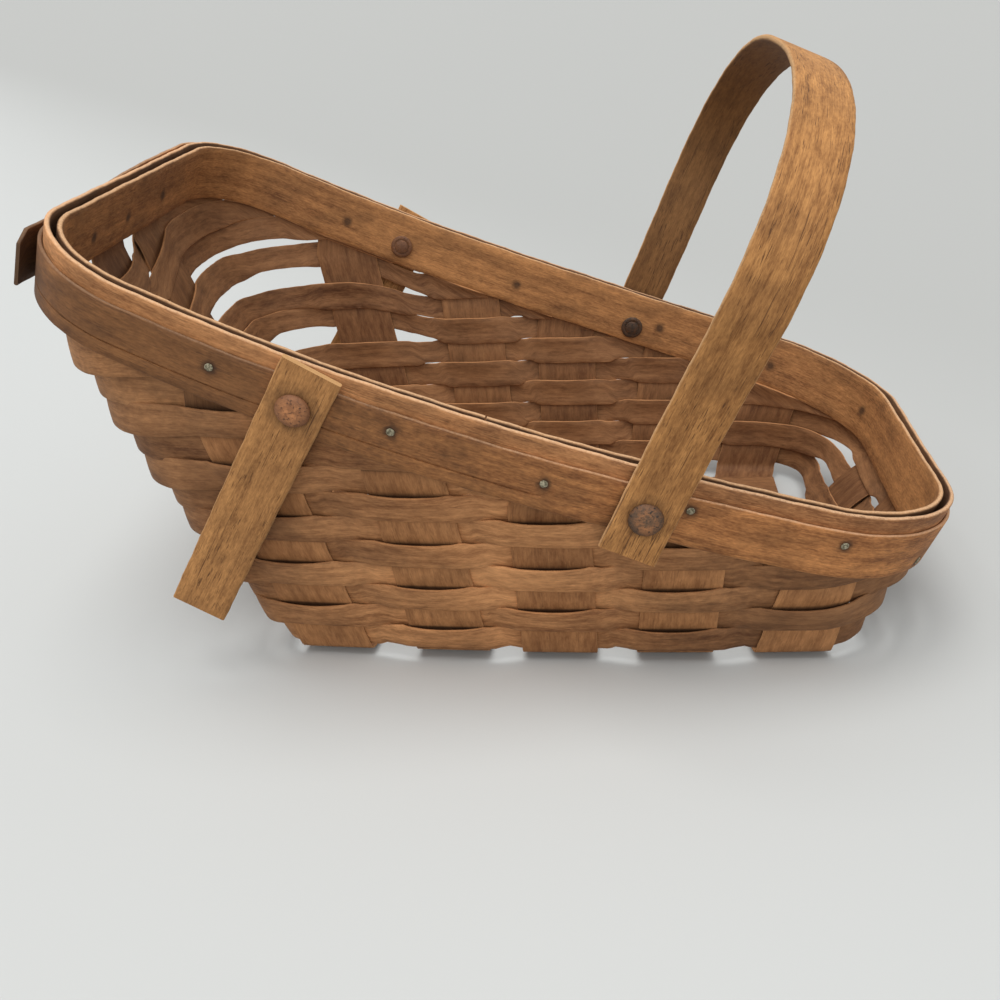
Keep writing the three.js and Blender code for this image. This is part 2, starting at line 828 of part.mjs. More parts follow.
// A rivet along +Z whose head's underside is at the given height, and whose tip is peened over its burr
function rivetShape(headAt, burrAt) {
  const tipAt = burrAt - burrThickness - bandClearance;
  const profile = [
    new THREE.Vector2(0, tipAt - rivetTipHeight),
    new THREE.Vector2(rivetTipRadius, tipAt - rivetTipHeight * 0.4),
    new THREE.Vector2(rivetTipRadius, tipAt),
    new THREE.Vector2(rivetShankRadius, tipAt),
    new THREE.Vector2(rivetShankRadius, headAt),
    new THREE.Vector2(rivetHeadRadius, headAt),
    new THREE.Vector2(rivetHeadRadius, headAt + rivetHeadHeight * 0.3),
    new THREE.Vector2(rivetHeadRadius * 0.82, headAt + rivetHeadHeight * 0.72),
    new THREE.Vector2(rivetHeadRadius * 0.45, headAt + rivetHeadHeight * 0.96),
    new THREE.Vector2(0, headAt + rivetHeadHeight),
  ];
  return closedLathe(profile, roundSegments);
}

function closedLathe(profile, segments) {
  const lathe = new THREE.LatheGeometry(profile, segments);
  lathe.rotateX(Math.PI / 2);
  lathe.deleteAttribute('normal');
  lathe.deleteAttribute('uv');
  return outward(mergeVertices(lathe, 1e-4));
}

function ringShape(innerRadius, outerRadius, from, to) {
  const profile = [
    new THREE.Vector2(innerRadius, from),
    new THREE.Vector2(outerRadius, from),
    new THREE.Vector2(outerRadius, to),
    new THREE.Vector2(innerRadius, to),
    new THREE.Vector2(innerRadius, from),
  ];
  return closedLathe(profile, roundSegments);
}

const innerFaceDepth = wrapOuterFace + wallHalf;
const burrFace = -innerFaceDepth - bandClearance;
const legFace = bandClearance;
const legHead = legFace + stripThickness + bandClearance;
const holeRadius = rivetShankRadius + pinClearance;

const legFrames = [-1, 1].map((side) => pivotFrame(legPivotAlongRim, side));
const hoopFrames = [-1, 1].map((side) => {
  const { place } = pivotFrame(hoopPivotAlongRim, side);
  return { place, normal: new THREE.Vector3(0, side, 0) };
});
const hoopTilt = Math.tan(pivotFrame(hoopPivotAlongRim, 1).normal.angleTo(hoopFrames[1].normal));
const washerFace = bandClearance + washerRadius * hoopTilt;
const hoopFace = washerFace + washerThickness + bandClearance;
const hoopBurrFace = burrFace - burrRadius * hoopTilt;
const hoopHead = hoopFace + stripThickness + bandClearance;

const bandHoles = [...legFrames, ...hoopFrames].map(({ place, normal }) => (
  pinCutter(place, normal, holeRadius, -innerFaceDepth - pinReach, pinReach)));

// A leg: a flat strip with square ends, turning on its rivet
function legShape(frame) {
  const downward = rimNormal.clone().negate().applyAxisAngle(new THREE.Vector3(0, 1, 0), legLean);
  const length = downward.clone().addScaledVector(frame.normal, -downward.dot(frame.normal)).normalize();
  const width = length.clone().cross(frame.normal).normalize();
  const corners = (at) => [-1, 1].flatMap((side) => {
    const edge = frame.place.clone().addScaledVector(length, at);
    edge.addScaledVector(width, (side * stripWidth) / 2);
    const inner = edge.clone().addScaledVector(frame.normal, legFace);
    const outer = edge.clone().addScaledVector(frame.normal, legFace + stripThickness);
    return side < 0 ? [inner, outer] : [outer, inner];
  });
  const body = loft([corners(-legLengthAbove), corners(legLengthBelow)], false);
  const through = legFace + stripThickness + pinReach;
  return cut(body, [pinCutter(frame.place, frame.normal, holeRadius, -pinReach, through)]);
}

// The hoop's middle line in its own plane: across, and up from the pivots
function hoopLine(footHalf) {
  const points = [[footHalf, -hoopFootLength], [footHalf, hoopFootLength * 0.7]];
  const rise = 5;
  for (let i = 1; i <= rise; i += 1) {
    const t = i / rise;
    const height = THREE.MathUtils.lerp(hoopFootLength * 0.7, hoopShoulderStart, t);
    points.push([footHalf + hoopFlare * (t * t * (1.6 - 0.6 * t)), height]);
  }
  const shoulder = footHalf + hoopFlare;
  const turns = 16;
  for (let i = 1; i <= turns; i += 1) {
    const angle = (Math.PI / 2) * (i / turns);
    const across = shoulder * Math.cos(angle) ** (2 / hoopRoundness);
    const rest = (hoopHeight - hoopShoulderStart) * Math.sin(angle) ** (2 / hoopRoundness);
    points.push([i === turns ? 0 : across, hoopShoulderStart + rest]);
  }
  const mirrored = points.slice(0, -1).reverse().map(([across, height]) => [-across, height]);
  return [...points, ...mirrored];
}

function hoopShape() {
  const footHalf = hoopFrames[1].place.y + hoopFace + stripThickness / 2;
  const line = hoopLine(footHalf);
  const pivot = new THREE.Vector3(hoopFrames[1].place.x, 0, hoopFrames[1].place.z);
  const rise = rimNormal.clone().applyAxisAngle(new THREE.Vector3(0, 1, 0), hoopLean);
  const width = new THREE.Vector3(0, 1, 0).cross(rise).normalize();
  const sections = line.map(([across, height], i) => {
    const before = line[Math.max(0, i - 1)];
    const after = line[Math.min(line.length - 1, i + 1)];
    const run = new THREE.Vector2(after[0] - before[0], after[1] - before[1]).normalize();
    const out = new THREE.Vector3(0, run.y, 0).addScaledVector(rise, -run.x);
    const centre = pivot.clone().addScaledVector(rise, height);
    centre.y += across;
    const corner = (side, face) => centre.clone()
      .addScaledVector(width, (side * stripWidth) / 2)
      .addScaledVector(out, (face * stripThickness) / 2);
    return [corner(-1, -1), corner(-1, 1), corner(1, 1), corner(1, -1)];
  });
  const body = loft(sections, false);
  const through = hoopFace + stripThickness + pinReach;
  const holes = hoopFrames.map(({ place, normal }) => pinCutter(place, normal, holeRadius, 0, through));
  return cut(body, holes);
}

// Finishes

const finishes = {
  weave: { color: 0xa8733f, roughness: 0.62, metalness: 0 },
  splint: { color: 0x9c6a3a, roughness: 0.64, metalness: 0 },
  band: { color: 0x8f5a32, roughness: 0.55, metalness: 0 },
  strip: { color: 0xb98a4e, roughness: 0.6, metalness: 0 },
  copper: { color: 0x7a5238, roughness: 0.5, metalness: 0.8 },
};

const basket = new THREE.Group();

function addPart(name, geometry, finish) {
  const shaded = geometry.index ? geometry.toNonIndexed() : geometry;
  shaded.computeVertexNormals();
  const mesh = new THREE.Mesh(shaded, new THREE.MeshStandardMaterial(finishes[finish]));
  mesh.name = name;
  basket.add(mesh);
}

crossSplintPositions.forEach((position, i) => {
  addPart(`cross_splint_${i + 1}`, cut(crossSplint(i), bandHoles), 'splint');
});
for (let i = 0; i < 2; i += 1) {
  addPart(`long_splint_${i + 1}`, longSplint(i), 'splint');
  addPart(`floor_filler_splint_${i + 1}`, fillerSplint(i), 'splint');
}
for (let row = 1; row <= rowCount; row += 1) {
  addPart(`weaver_row_${String(row).padStart(2, '0')}`, weaver(row), 'weave');
}
const innerBand = seamedBand(wallHalf * 2 - bandThickness, innerBandWidth, innerBandSeam);
addPart('inner_rim_band', cut(innerBand, bandHoles), 'band');
addPart('outer_rim_band', cut(seamedBand(0, outerBandWidth, outerBandSeam), bandHoles), 'band');
addPart('wrap_rim_band', cut(wrapBand(), bandHoles), 'band');
addPart('swing_handle', hoopShape(), 'strip');
['near_leg', 'far_leg'].forEach((name, i) => {
  addPart(name, legShape(legFrames[i]), 'strip');
});
['near', 'far'].forEach((sideName, i) => {
  const leg = legFrames[i];
  const hoop = hoopFrames[i];
  const legRivet = rivetShape(legHead, burrFace);
  const hoopRivet = rivetShape(hoopHead, hoopBurrFace);
  addPart(`${sideName}_leg_rivet`, placedAlong(legRivet, leg.place, leg.normal), 'copper');
  addPart(`${sideName}_handle_rivet`, placedAlong(hoopRivet, hoop.place, hoop.normal), 'copper');
});
const rivetNames = ['near_leg', 'far_leg', 'near_handle', 'far_handle'];
[...legFrames, ...hoopFrames].forEach(({ place, normal }, i) => {
  const seat = i < 2 ? burrFace : hoopBurrFace;
  const burr = ringShape(holeRadius, burrRadius, seat - burrThickness, seat);
  addPart(`${rivetNames[i]}_rivet_burr`, placedAlong(burr, place, normal), 'copper');
});
hoopFrames.forEach(({ place, normal }, i) => {
  const washer = ringShape(holeRadius, washerRadius, washerFace, washerFace + washerThickness);
  addPart(`${rivetNames[i + 2]}_washer`, placedAlong(washer, place, normal), 'copper');
});

const footprint = new THREE.Box3().setFromObject(basket);
basket.position.set(-(footprint.min.x + footprint.max.x) / 2, -(footprint.min.y + footprint.max.y) / 2, 0);

export default basket;
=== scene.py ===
import math
from collections import namedtuple

import bpy
import numpy as np
from mathutils import Matrix


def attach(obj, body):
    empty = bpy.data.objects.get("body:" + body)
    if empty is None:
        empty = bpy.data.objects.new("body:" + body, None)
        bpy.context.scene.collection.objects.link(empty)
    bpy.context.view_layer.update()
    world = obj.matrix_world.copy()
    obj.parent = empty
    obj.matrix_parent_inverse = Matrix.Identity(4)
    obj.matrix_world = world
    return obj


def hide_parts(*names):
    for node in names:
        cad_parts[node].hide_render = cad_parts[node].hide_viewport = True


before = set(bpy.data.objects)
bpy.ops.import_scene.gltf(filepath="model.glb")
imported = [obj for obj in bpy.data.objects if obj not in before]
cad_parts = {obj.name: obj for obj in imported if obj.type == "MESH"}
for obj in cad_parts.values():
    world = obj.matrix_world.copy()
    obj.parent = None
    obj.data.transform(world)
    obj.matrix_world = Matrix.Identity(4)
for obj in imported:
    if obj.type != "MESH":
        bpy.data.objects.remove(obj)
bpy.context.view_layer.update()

# Cross splints: five thin flat strips split from straight wood, 25 mm wide, that pass under the floor
# and climb both sides. Each bends up at the floor's edge, fans out with the wall and ends between the
# two rim bands, where only its raw top shows. All lengths here are in millimetres.
rim_length = 300.6
rim_centre_height = 101.7
rim_slope = math.radians(20.6)
rim_sag = 7.3
rim_sag_lean = 2.5
rim_side_bow = 10.5
side_spring = 2
rim_high_corner = 34
rim_low_corner = 49
side_flare = math.tan(math.radians(6.7))
base_high_end = -83
base_low_end = 103.5
base_width = 138
base_side_bow = 3
base_corner = 5
base_bend = 5
high_end_bulge = 5.5
bulge_fade = 1.4
footprint_shift = 5.8825
band_thickness = 1.6
band_gap = 2.0
wall_half = band_gap / 2 + band_thickness
wall_top_below_rim = 24
splint_width = 25.4
splint_thickness = 0.9
splint_top_below_rim = 2.5
splint_bow = 0.36
bow_fade = 7
floor_middle = 1.9
row_count = 12
first_row_height = 6.5
row_pitch = 8.75
row_spread = 0.0086
weaver_width = 8.5
loose_corner_rises = (0, 0, 0, 0, 0, 1, 9, 8, 15.5, 18, 17, 16)
loose_first, loose_last = 4.66, 6.12
loose_rise, loose_fall = 0.22, 0.6
cross_places = (-68, -27.4, 9.1, 47.5, 86)
near_rim_places = (-82, -27, 19.5, 64, 109)
far_rim_places = (-84, -26, 19, 68, 112)

along_rim = np.array((math.cos(rim_slope), 0, -math.sin(rim_slope)))
above_rim = np.array((math.sin(rim_slope), 0, math.cos(rim_slope)))


def ease(t):
    t = min(1.0, max(0.0, t))
    return t * t * (3 - 2 * t)


def blend(a, b, t):
    return a + (b - a) * t


def unit(v):
    return v / np.linalg.norm(v)


# One lap round the basket runs from 0 to 8: near side, corner, low end, corner, far side, corner,
# high end, corner
def outline_place(lap, high, low, half, high_corner, low_corner):
    side = math.floor(lap) % 8
    t = lap - math.floor(lap)
    near, far = low_corner - half, half - low_corner
    if side == 0:
        return blend(high + high_corner, low - low_corner, t), -half
    if side == 2:
        return low, blend(near, far, t)
    if side == 4:
        return blend(low - low_corner, high + high_corner, t), half
    if side == 6:
        return high, blend(half - high_corner, high_corner - half, t)
    x, y, radius, start = {
        1: (low - low_corner, near, low_corner, -90),
        3: (low - low_corner, far, low_corner, 0),
        5: (high + high_corner, half - high_corner, high_corner, 90),
        7: (high + high_corner, high_corner - half, high_corner, 180),
    }[side]
    angle = math.radians(start + 90 * t)
    return x + radius * math.cos(angle), y + radius * math.sin(angle)


def rim_sag_at(along):
    t = min(1.05, max(-1.05, 2 * along / rim_length))
    return -(rim_sag - rim_sag_lean * t) * (1 - t * t)


def rim_half_width(along):
    t = min(1.0, max(-1.0, 2 * along / rim_length))
    height = rim_centre_height - along * math.sin(rim_slope)
    height += rim_sag_at(along) * math.cos(rim_slope)
    return base_width / 2 + side_spring + height * side_flare + rim_side_bow * (1 - t * t)


# A point of the rim: how far inside the outer band's face, and how far below the rim's top edge
def rim_place(lap, inset, below):
    half = rim_half_width(0) - inset
    reach = rim_length / 2 - inset
    along, across = outline_place(
        lap, -reach, reach, half, rim_high_corner - inset, rim_low_corner - inset)
    width = rim_half_width(along) - inset - below * side_flare
    place = along_rim * along + above_rim * (rim_sag_at(along) - below)
    return place + (footprint_shift, across / half * width, rim_centre_height)


# A point of the floor's outline, where the wall's foot stands
def base_place(lap):
    half = base_width / 2
    x, y = outline_place(lap, base_high_end, base_low_end, half, base_corner, base_corner)
    t = (2 * x - base_high_end - base_low_end) / (base_low_end - base_high_end)
    return np.array((x + footprint_shift, y + base_side_bow * (1 - t * t) * y / half, 0))


# The high end's wall bulges out, less and less round its two corners
def high_end_share(lap):
    lap = lap % 8
    distance = abs(lap - 6.5) if lap > 4 else lap + 1.5
    return 1 - ease((distance - 0.5) / bulge_fade)


# The upper rows have slipped up at the high end's far corner
def loose_corner_share(lap):
    lap = lap % 8
    return ease((lap - loose_first) / loose_rise) * (1 - ease((lap - loose_last) / loose_fall))


wall_lines = {}


def wall_line(lap):
    key = round(lap, 6)
    if key not in wall_lines:
        wall_lines[key] = base_place(lap), rim_place(lap, wall_half, wall_top_below_rim)
    return wall_lines[key]


# The wall's middle surface, where stakes and weavers pass in front of and behind each other
def wall_place(lap, height):
    foot, head = wall_line(lap)
    t = height / head[2]
    place = foot + (head - foot) * t
    place[0] -= high_end_bulge * high_end_share(lap) * math.sin(math.pi * min(1, max(0, t)))
    return place


# Which way the wall faces, and how far up its slope a millimetre of height goes
def wall_facing(lap, height):
    around = wall_place(lap + 0.004, height) - wall_place(lap - 0.004, height)
    rise = wall_place(lap, height + 0.5) - wall_place(lap, height - 0.5)
    return unit(np.cross(around, rise)), float(np.linalg.norm(rise))


# Walks a distance round the wall. Laps are longer along the sides than round the corners, so a step
# that passes a corner's start or end is taken in two parts.
def walk_round(place_at, lap, distance, steps):
    stride = abs(distance) / steps
    nudge = math.copysign(0.003, distance)
    for _ in range(steps):
        start = lap
        lap += nudge * stride / np.linalg.norm(place_at(start + nudge) - place_at(start))
        turn = round((start + lap) / 2)
        if (start - turn) * (lap - turn) < 0:
            left = stride - np.linalg.norm(place_at(turn) - place_at(start))
            lap = turn + nudge * left / np.linalg.norm(place_at(turn + nudge) - place_at(turn))
    return float(lap)


# How high a weaver row's lower edge lies
def row_height(row, lap):
    n = row - 1
    level = first_row_height + row_pitch * n * (1 + row_spread * n)
    return level + loose_corner_rises[min(n, row_count - 1)] * loose_corner_share(lap)


base_first, base_last = base_high_end + base_corner, base_low_end - base_corner
rim_first, rim_last = rim_high_corner - rim_length / 2, rim_length / 2 - rim_low_corner
Stake = namedtuple("Stake", "foot head order")
stakes = {}


# A place along the rim as a share of its straight side, running on into the low end's corner
def rim_share(place):
    past = max(0, place - rim_last)
    return (place - past - rim_first) / (rim_last - rim_first) + past / (rim_low_corner * math.pi / 2)


for i, place in enumerate(cross_places):
    foot = (place - base_first) / (base_last - base_first)
    stakes["near", i] = Stake(8 + foot, 8 + rim_share(near_rim_places[i]), i)
    stakes["far", i] = Stake(5 - foot, 5 - rim_share(far_rim_places[i]), 11 - i)


# How far round a stake's middle lies at a height. A stake that leans round a corner's start crosses
# it at an even pace.
def stake_lap(stake, height):
    foot, head = stake.foot, stake.head
    share = min(1, max(0, height / wall_line(head)[1][2]))
    corner = round((foot + head) / 2)
    if (foot - corner) * (head - corner) >= 0:
        return blend(foot, head, share)
    before = np.linalg.norm(base_place(foot) - base_place(corner))
    after = np.linalg.norm(wall_line(head)[1] - wall_line(corner)[1])
    way = blend(-before, after, share) * (1 if head > foot else -1)
    nudge = math.copysign(0.01, way)
    near, far = wall_place(corner + nudge, height), wall_place(corner + 2 * nudge, height)
    return corner + nudge * abs(way) / np.linalg.norm(far - near)


# A stake bows out where a weaver passes behind it, and in where one passes in front
def stake_bow(stake, height):
    lap = stake_lap(stake, height)
    middles = [row_height(row, lap) + weaver_width / 2 for row in range(1, row_count + 1)]
    place = float(np.interp(height, middles, range(1, row_count + 1)))
    row = min(math.floor(place), row_count)
    out = 1 if (row + stake.order) % 2 else -1
    top = wall_line(stake.head)[1][2]
    fade = ease(height / middles[0]) * ease((top + 1 - height) / bow_fade)
    return splint_bow * out * math.cos(math.pi * (place - row)) * fade


# The small unevenness of hand work along a run. Each lane has its own.
def ripple(run, lane, pitch):
    slow = np.sin(run / pitch + 2.1 * lane)
    return 0.6 * slow + 0.4 * np.sin(run / (pitch * 0.37) + 5.3 * lane)


# How far along a line of points each of them lies
def runs_along(line):
    return np.concatenate(((0,), np.cumsum(np.linalg.norm(np.diff(line, axis=0), axis=1))))


column_width = 2.2
shoulder_place = 0.35
shoulder_thickness = 0.78
edge_thickness = 0.3


# A flat strip of wood from a grid of points on its middle surface, with its edges a little rounded.
# Every corner of its mesh knows how far along and across the strip it lies, for the grain, whether
# it belongs to a cut edge, and how far it is darkened: half on the strip's back, and where painted
# shade and dirt gather in crevices.
def lay_strip(name, grid, thickness, lane, closed=False, rounding=0.3, fray=0.1, lines=(),
              press=None, dirt_and_shade=None):
    grid = np.array(grid, float)
    count = len(grid)
    spans = np.linalg.norm(np.diff(grid, axis=1), axis=2)
    reach = np.concatenate((np.zeros((count, 1)), np.cumsum(spans, 1)), 1)
    width = reach[:, -1]
    middle = grid[:, grid.shape[1] // 2]
    run = runs_along(middle)
    total = run[-1] + (np.linalg.norm(middle[0] - middle[-1]) if closed else 0)
    interior = max(3, int(width.max() / column_width))
    fine, distances = [], []
    for i, wide in enumerate(width):
        r = min(rounding, wide / 5)
        near = shoulder_place * r
        marks = np.sort([0, near, *np.linspace(r, wide - r, interior + 1), wide - near, wide,
                         *(m for m in lines if r < m < wide - r)])
        distances.append(marks)
        fine.append(np.stack([np.interp(marks, reach[i], grid[i, :, k]) for k in range(3)], 1))
    fine, distances = np.array(fine), np.array(distances)
    side = fine[:, -1] - fine[:, 0]
    side /= np.linalg.norm(side, axis=1)[:, None]
    fine[:, :2] += (side * fray * ripple(run, lane, 3.1)[:, None])[:, None]
    fine[:, -2:] += (side * fray * ripple(run, lane + 0.5, 2.7)[:, None])[:, None]
    ahead = np.roll(fine, -1, 0) - np.roll(fine, 1, 0) if closed else np.gradient(fine, axis=0)
    facing = np.cross(ahead, np.gradient(fine, axis=1))
    facing /= np.linalg.norm(facing, axis=2)[:, :, None]
    columns = fine.shape[1]
    share = np.ones((count, columns))
    share[:, (0, -1)] = edge_thickness
    share[:, (1, -2)] = shoulder_thickness
    if press:
        share *= press(run[:, None], distances)
    lift = facing * (thickness / 2 * share)[:, :, None]
    loop = np.concatenate((fine + lift, (fine - lift)[:, ::-1]), 1)
    size = 2 * columns
    cut = np.zeros(columns)
    cut[[0, -1]] = 1
    cut[[1, -2]] = 0.5
    cut = np.concatenate((cut, cut[::-1]))
    round_it = np.concatenate((distances, 2 * width[:, None] + thickness - distances[:, ::-1]), 1)
    faces, grain, raw, darkened = [], [], [], []
    for i in range(count if closed else count - 1):
        j = (i + 1) % count
        # Painted shade and dirt on the strip's front, as far as given
        dirt_and_shade_i, dirt_and_shade_j = (dirt_and_shade[i], dirt_and_shade[j]) if dirt_and_shade else (0, 0)
        run_i, run_j = run[i], run[j] if j else total
        for k in range(size):
            m = (k + 1) % size
            faces.append((i * size + k, j * size + k, j * size + m, i * size + m))
            far = round_it[:, m] if m else 2 * width + 2 * thickness
            grain += [(run_i, round_it[i, k], lane), (run_j, round_it[j, k], lane),
                      (run_j, far[j], lane), (run_i, far[i], lane)]
            raw += [cut[k], cut[k], cut[m], cut[m]]
            if k < columns:
                darkened += [dirt_and_shade_i, dirt_and_shade_j, dirt_and_shade_j, dirt_and_shade_i]
            else:
                darkened += [0.5 - cut[k] / 2] * 2 + [0.5 - cut[m] / 2] * 2
    if not closed:
        for i, turn in ((0, 1), (count - 1, -1)):
            for k in range(columns - 1):
                corners = [k, k + 1, size - 2 - k, size - 1 - k][::turn]
                faces.append(tuple(i * size + c for c in corners))
                grain += [(run[i] + 0.3 * (c >= columns), round_it[i, c], lane) for c in corners]
                raw += [1] * 4
                darkened += [0] * 4
    return finish_mesh(name, loop.reshape(-1, 3), faces, grain, raw, darkened)


def put_in_scene(name, data):
    thing = bpy.data.objects.new(name, data)
    bpy.context.scene.collection.objects.link(thing)
    return thing


# Turns the faces outward, goes from millimetres to metres and keeps the grain on the mesh
def finish_mesh(name, places, faces, grain, raw, darkened):
    quads = np.array([f if len(f) == 4 else (*f, f[2]) for f in faces])
    a, b, c, d = (places[quads[:, k]] for k in range(4))
    volume = np.einsum("ij,ij->", a, np.cross(b, c)) + np.einsum("ij,ij->", a, np.cross(c, d))
    grain, raw, darkened = (np.array(values, np.float32) for values in (grain, raw, darkened))
    if volume < 0:
        corners = np.concatenate(([0], np.cumsum([len(f) for f in faces])))
        order = np.concatenate([
            np.arange(corners[n + 1] - 1, corners[n] - 1, -1) for n in range(len(faces))])
        grain, raw, darkened = grain[order], raw[order], darkened[order]
        faces = [f[::-1] for f in faces]
    mesh = bpy.data.meshes.new(name)
    mesh.from_pydata((places / 1000).tolist(), [], faces)
    mesh.attributes.new("grain", "FLOAT_VECTOR", "CORNER").data.foreach_set(
        "vector", grain.ravel())
    mesh.attributes.new("cut", "FLOAT", "CORNER").data.foreach_set("value", raw)
    mesh.attributes.new("darkened", "FLOAT", "CORNER").data.foreach_set("value", darkened)
    mesh.polygons.foreach_set("use_smooth", [True] * len(faces))
    mesh.set_sharp_from_angle(angle=math.radians(50))
    return put_in_scene(name, mesh)


def colour(red, green, blue):
    linear = [((v / 255 + 0.055) / 1.055) ** 2.4 for v in (red, green, blue)]
    return (*linear, 1)


def put_node(tree, kind, feeds=(), **settings):
    node = tree.nodes.new("ShaderNode" + kind)
    for name, value in settings.items():
        setattr(node, name, value)
    for key, value in feeds:
        if isinstance(value, bpy.types.NodeSocket):
            tree.links.new(value, node.inputs[key])
        else:
            node.inputs[key].default_value = value
    return node


def new_group(name, inputs, outputs):
    tree = bpy.data.node_groups.new(name, "ShaderNodeTree")
    for way, kinds in (("INPUT", inputs), ("OUTPUT", outputs)):
        for kind, names in kinds.items():
            for socket in names.split():
                tree.interface.new_socket(socket, in_out=way, socket_type="NodeSocket" + kind)
    return tree, tree.nodes.new("NodeGroupInput").outputs, tree.nodes.new("NodeGroupOutput").inputs


# Split wood: long fibres, broader figure, short dark pores, handling grime, and cut edges left raw.
# Its noises are stretched along the grain: how fast each runs along, across and from strip to strip.
grain_tree, given, result = new_group(
    "split_wood",
    {"Vector": "Grain Place", "Color": "Light Dark Pore Raw",
     "Float": "Cut Fibre Figure Mottle Grit Pores Cracks Grime Sheen"},
    {"Color": "Color", "Float": "Roughness Height"})


def stretched_noise(place, stretch, detail, roughness=0.55):
    tree = place.id_data
    scaled = put_node(tree, "VectorMath", [(0, place), (1, stretch)], operation="MULTIPLY")
    return put_node(tree, "TexNoise", [
        ("Vector", scaled.outputs[0]), ("Scale", 1.0), ("Detail", detail),
        ("Roughness", roughness)]).outputs[0]


def math_of(operation, socket, *values):
    feeds = enumerate((socket, *values))
    return put_node(socket.id_data, "Math", feeds, operation=operation).outputs[0]


def sum_of(a, b, share=1.0):
    return math_of("MULTIPLY_ADD", b, share, a)


def product_of(a, b):
    return math_of("MULTIPLY", a, b)


def larger_of(a, b):
    return math_of("MAXIMUM", a, b)


def rise_of(value, low, high, floor=0.0, top=1.0):
    feeds = enumerate((value, low, high, floor, top))
    return put_node(value.id_data, "MapRange", feeds).outputs[0]


def mix_of(share, a, b):
    feeds = [(0, share), (6, a), (7, b)]
    return put_node(share.id_data, "Mix", feeds, data_type="RGBA").outputs[2]


on_strip = given["Grain"]
fibre = stretched_noise(on_strip, (0.08, 2.5, 3.1), 5.0, 0.7)
fine_fibre = stretched_noise(on_strip, (0.3, 6.5, 3.1), 3.0)
figure = stretched_noise(on_strip, (0.014, 0.24, 2.3), 3.0)
mottle = stretched_noise(on_strip, (0.16, 0.55, 4.3), 4.0, 0.65)
grit = stretched_noise(on_strip, (0.55, 1.7, 6.1), 3.0)
strip_tint = stretched_noise(on_strip, (0.004, 0.01, 7.7), 1.0)
tone = rise_of(strip_tint, 0.3, 0.7, -0.42, 0.42)
for pattern, amount in ((fibre, "Fibre"), (figure, "Figure"), (mottle, "Mottle"), (grit, "Grit")):
    swing = rise_of(pattern, 0.34, 0.66, -0.5, 0.5)
    tone = sum_of(tone, swing, given[amount])
tone = rise_of(tone, -0.9, 0.9)
wood = mix_of(tone, given["Dark"], given["Light"])
pore = stretched_noise(on_strip, (0.17, 2.3, 5.7), 3.0, 0.6)
pore_patch = stretched_noise(on_strip, (0.03, 0.16, 9.1), 2.0)
pore = sum_of(pore, rise_of(pore_patch, 0.3, 0.7, -0.07, 0.07))
pore_mask = rise_of(pore, 0.60, 0.68)
crack = stretched_noise(on_strip, (0.02, 1.0, 11.3), 3.0, 0.6)
crack_mask = rise_of(crack, 0.64, 0.68)
pore_share = larger_of(
    product_of(pore_mask, given["Pores"]), product_of(crack_mask, given["Cracks"]))
wood = mix_of(pore_share, wood, given["Pore"])
smear = stretched_noise(given["Place"], (55, 55, 90), 4.0, 0.6)
smear_share = product_of(rise_of(smear, 0.45, 0.75), given["Grime"])
wood = mix_of(smear_share, wood, given["Pore"])
speck = stretched_noise(on_strip, (0.9, 3.0, 1.9), 3.0, 0.7)
raw_share = product_of(given["Cut"], rise_of(speck, 0.35, 0.6, 0.35, 1.0))
wood = mix_of(raw_share, wood, given["Raw"])
grain_tree.links.new(wood, result["Color"])
rough = sum_of(0.86, fibre, 0.25)
rough = sum_of(rough, given["Sheen"], -0.6)
rough = sum_of(rough, given["Cut"], 0.2)
grain_tree.links.new(rough, result["Roughness"])
relief = sum_of(product_of(fibre, 0.7), fine_fibre, 0.35)
relief = sum_of(relief, grit, 0.25)
relief = sum_of(relief, pore_share, -0.5)
grain_tree.links.new(relief, result["Height"])

# A patchy round darkening, for rust and dirt round a nail or rivet, and for painted shade over a part
# that lies out of the light
stain_and_shade_tree, given, result = new_group(
    "round_stain_and_shade", {"Vector": "Place Middle", "Float": "Reach"}, {"Float": "Darkness"})
away = put_node(stain_and_shade_tree, "VectorMath", [(0, given["Place"]), (1, given["Middle"])],
                operation="DISTANCE").outputs["Value"]
patchy = stretched_noise(given["Place"], (420, 420, 420), 3.0, 0.6)
away = sum_of(away, product_of(patchy, given["Reach"]), 0.7)
near_middle = rise_of(math_of("DIVIDE", away, given["Reach"]), 0.75, 1.5, 1.0, 0.0)
stain_and_shade_tree.links.new(near_middle, result["Darkness"])


def stain_and_shade_of(place, middle, reach):
    feeds = [("Place", place), ("Middle", tuple(middle / 1000)), ("Reach", reach / 1000)]
    return put_node(place.id_data, "Group", feeds, node_tree=stain_and_shade_tree).outputs["Darkness"]


def new_finish(name):
    finish = bpy.data.materials.new(name)
    finish.use_nodes = True
    return finish, finish.node_tree, finish.node_tree.nodes["Principled BSDF"]


def show_relief(tree, shader, height, strength, depth):
    bumps = put_node(tree, "Bump", [("Strength", strength), ("Distance", depth), ("Height", height)])
    tree.links.new(bumps.outputs[0], shader.inputs["Normal"])
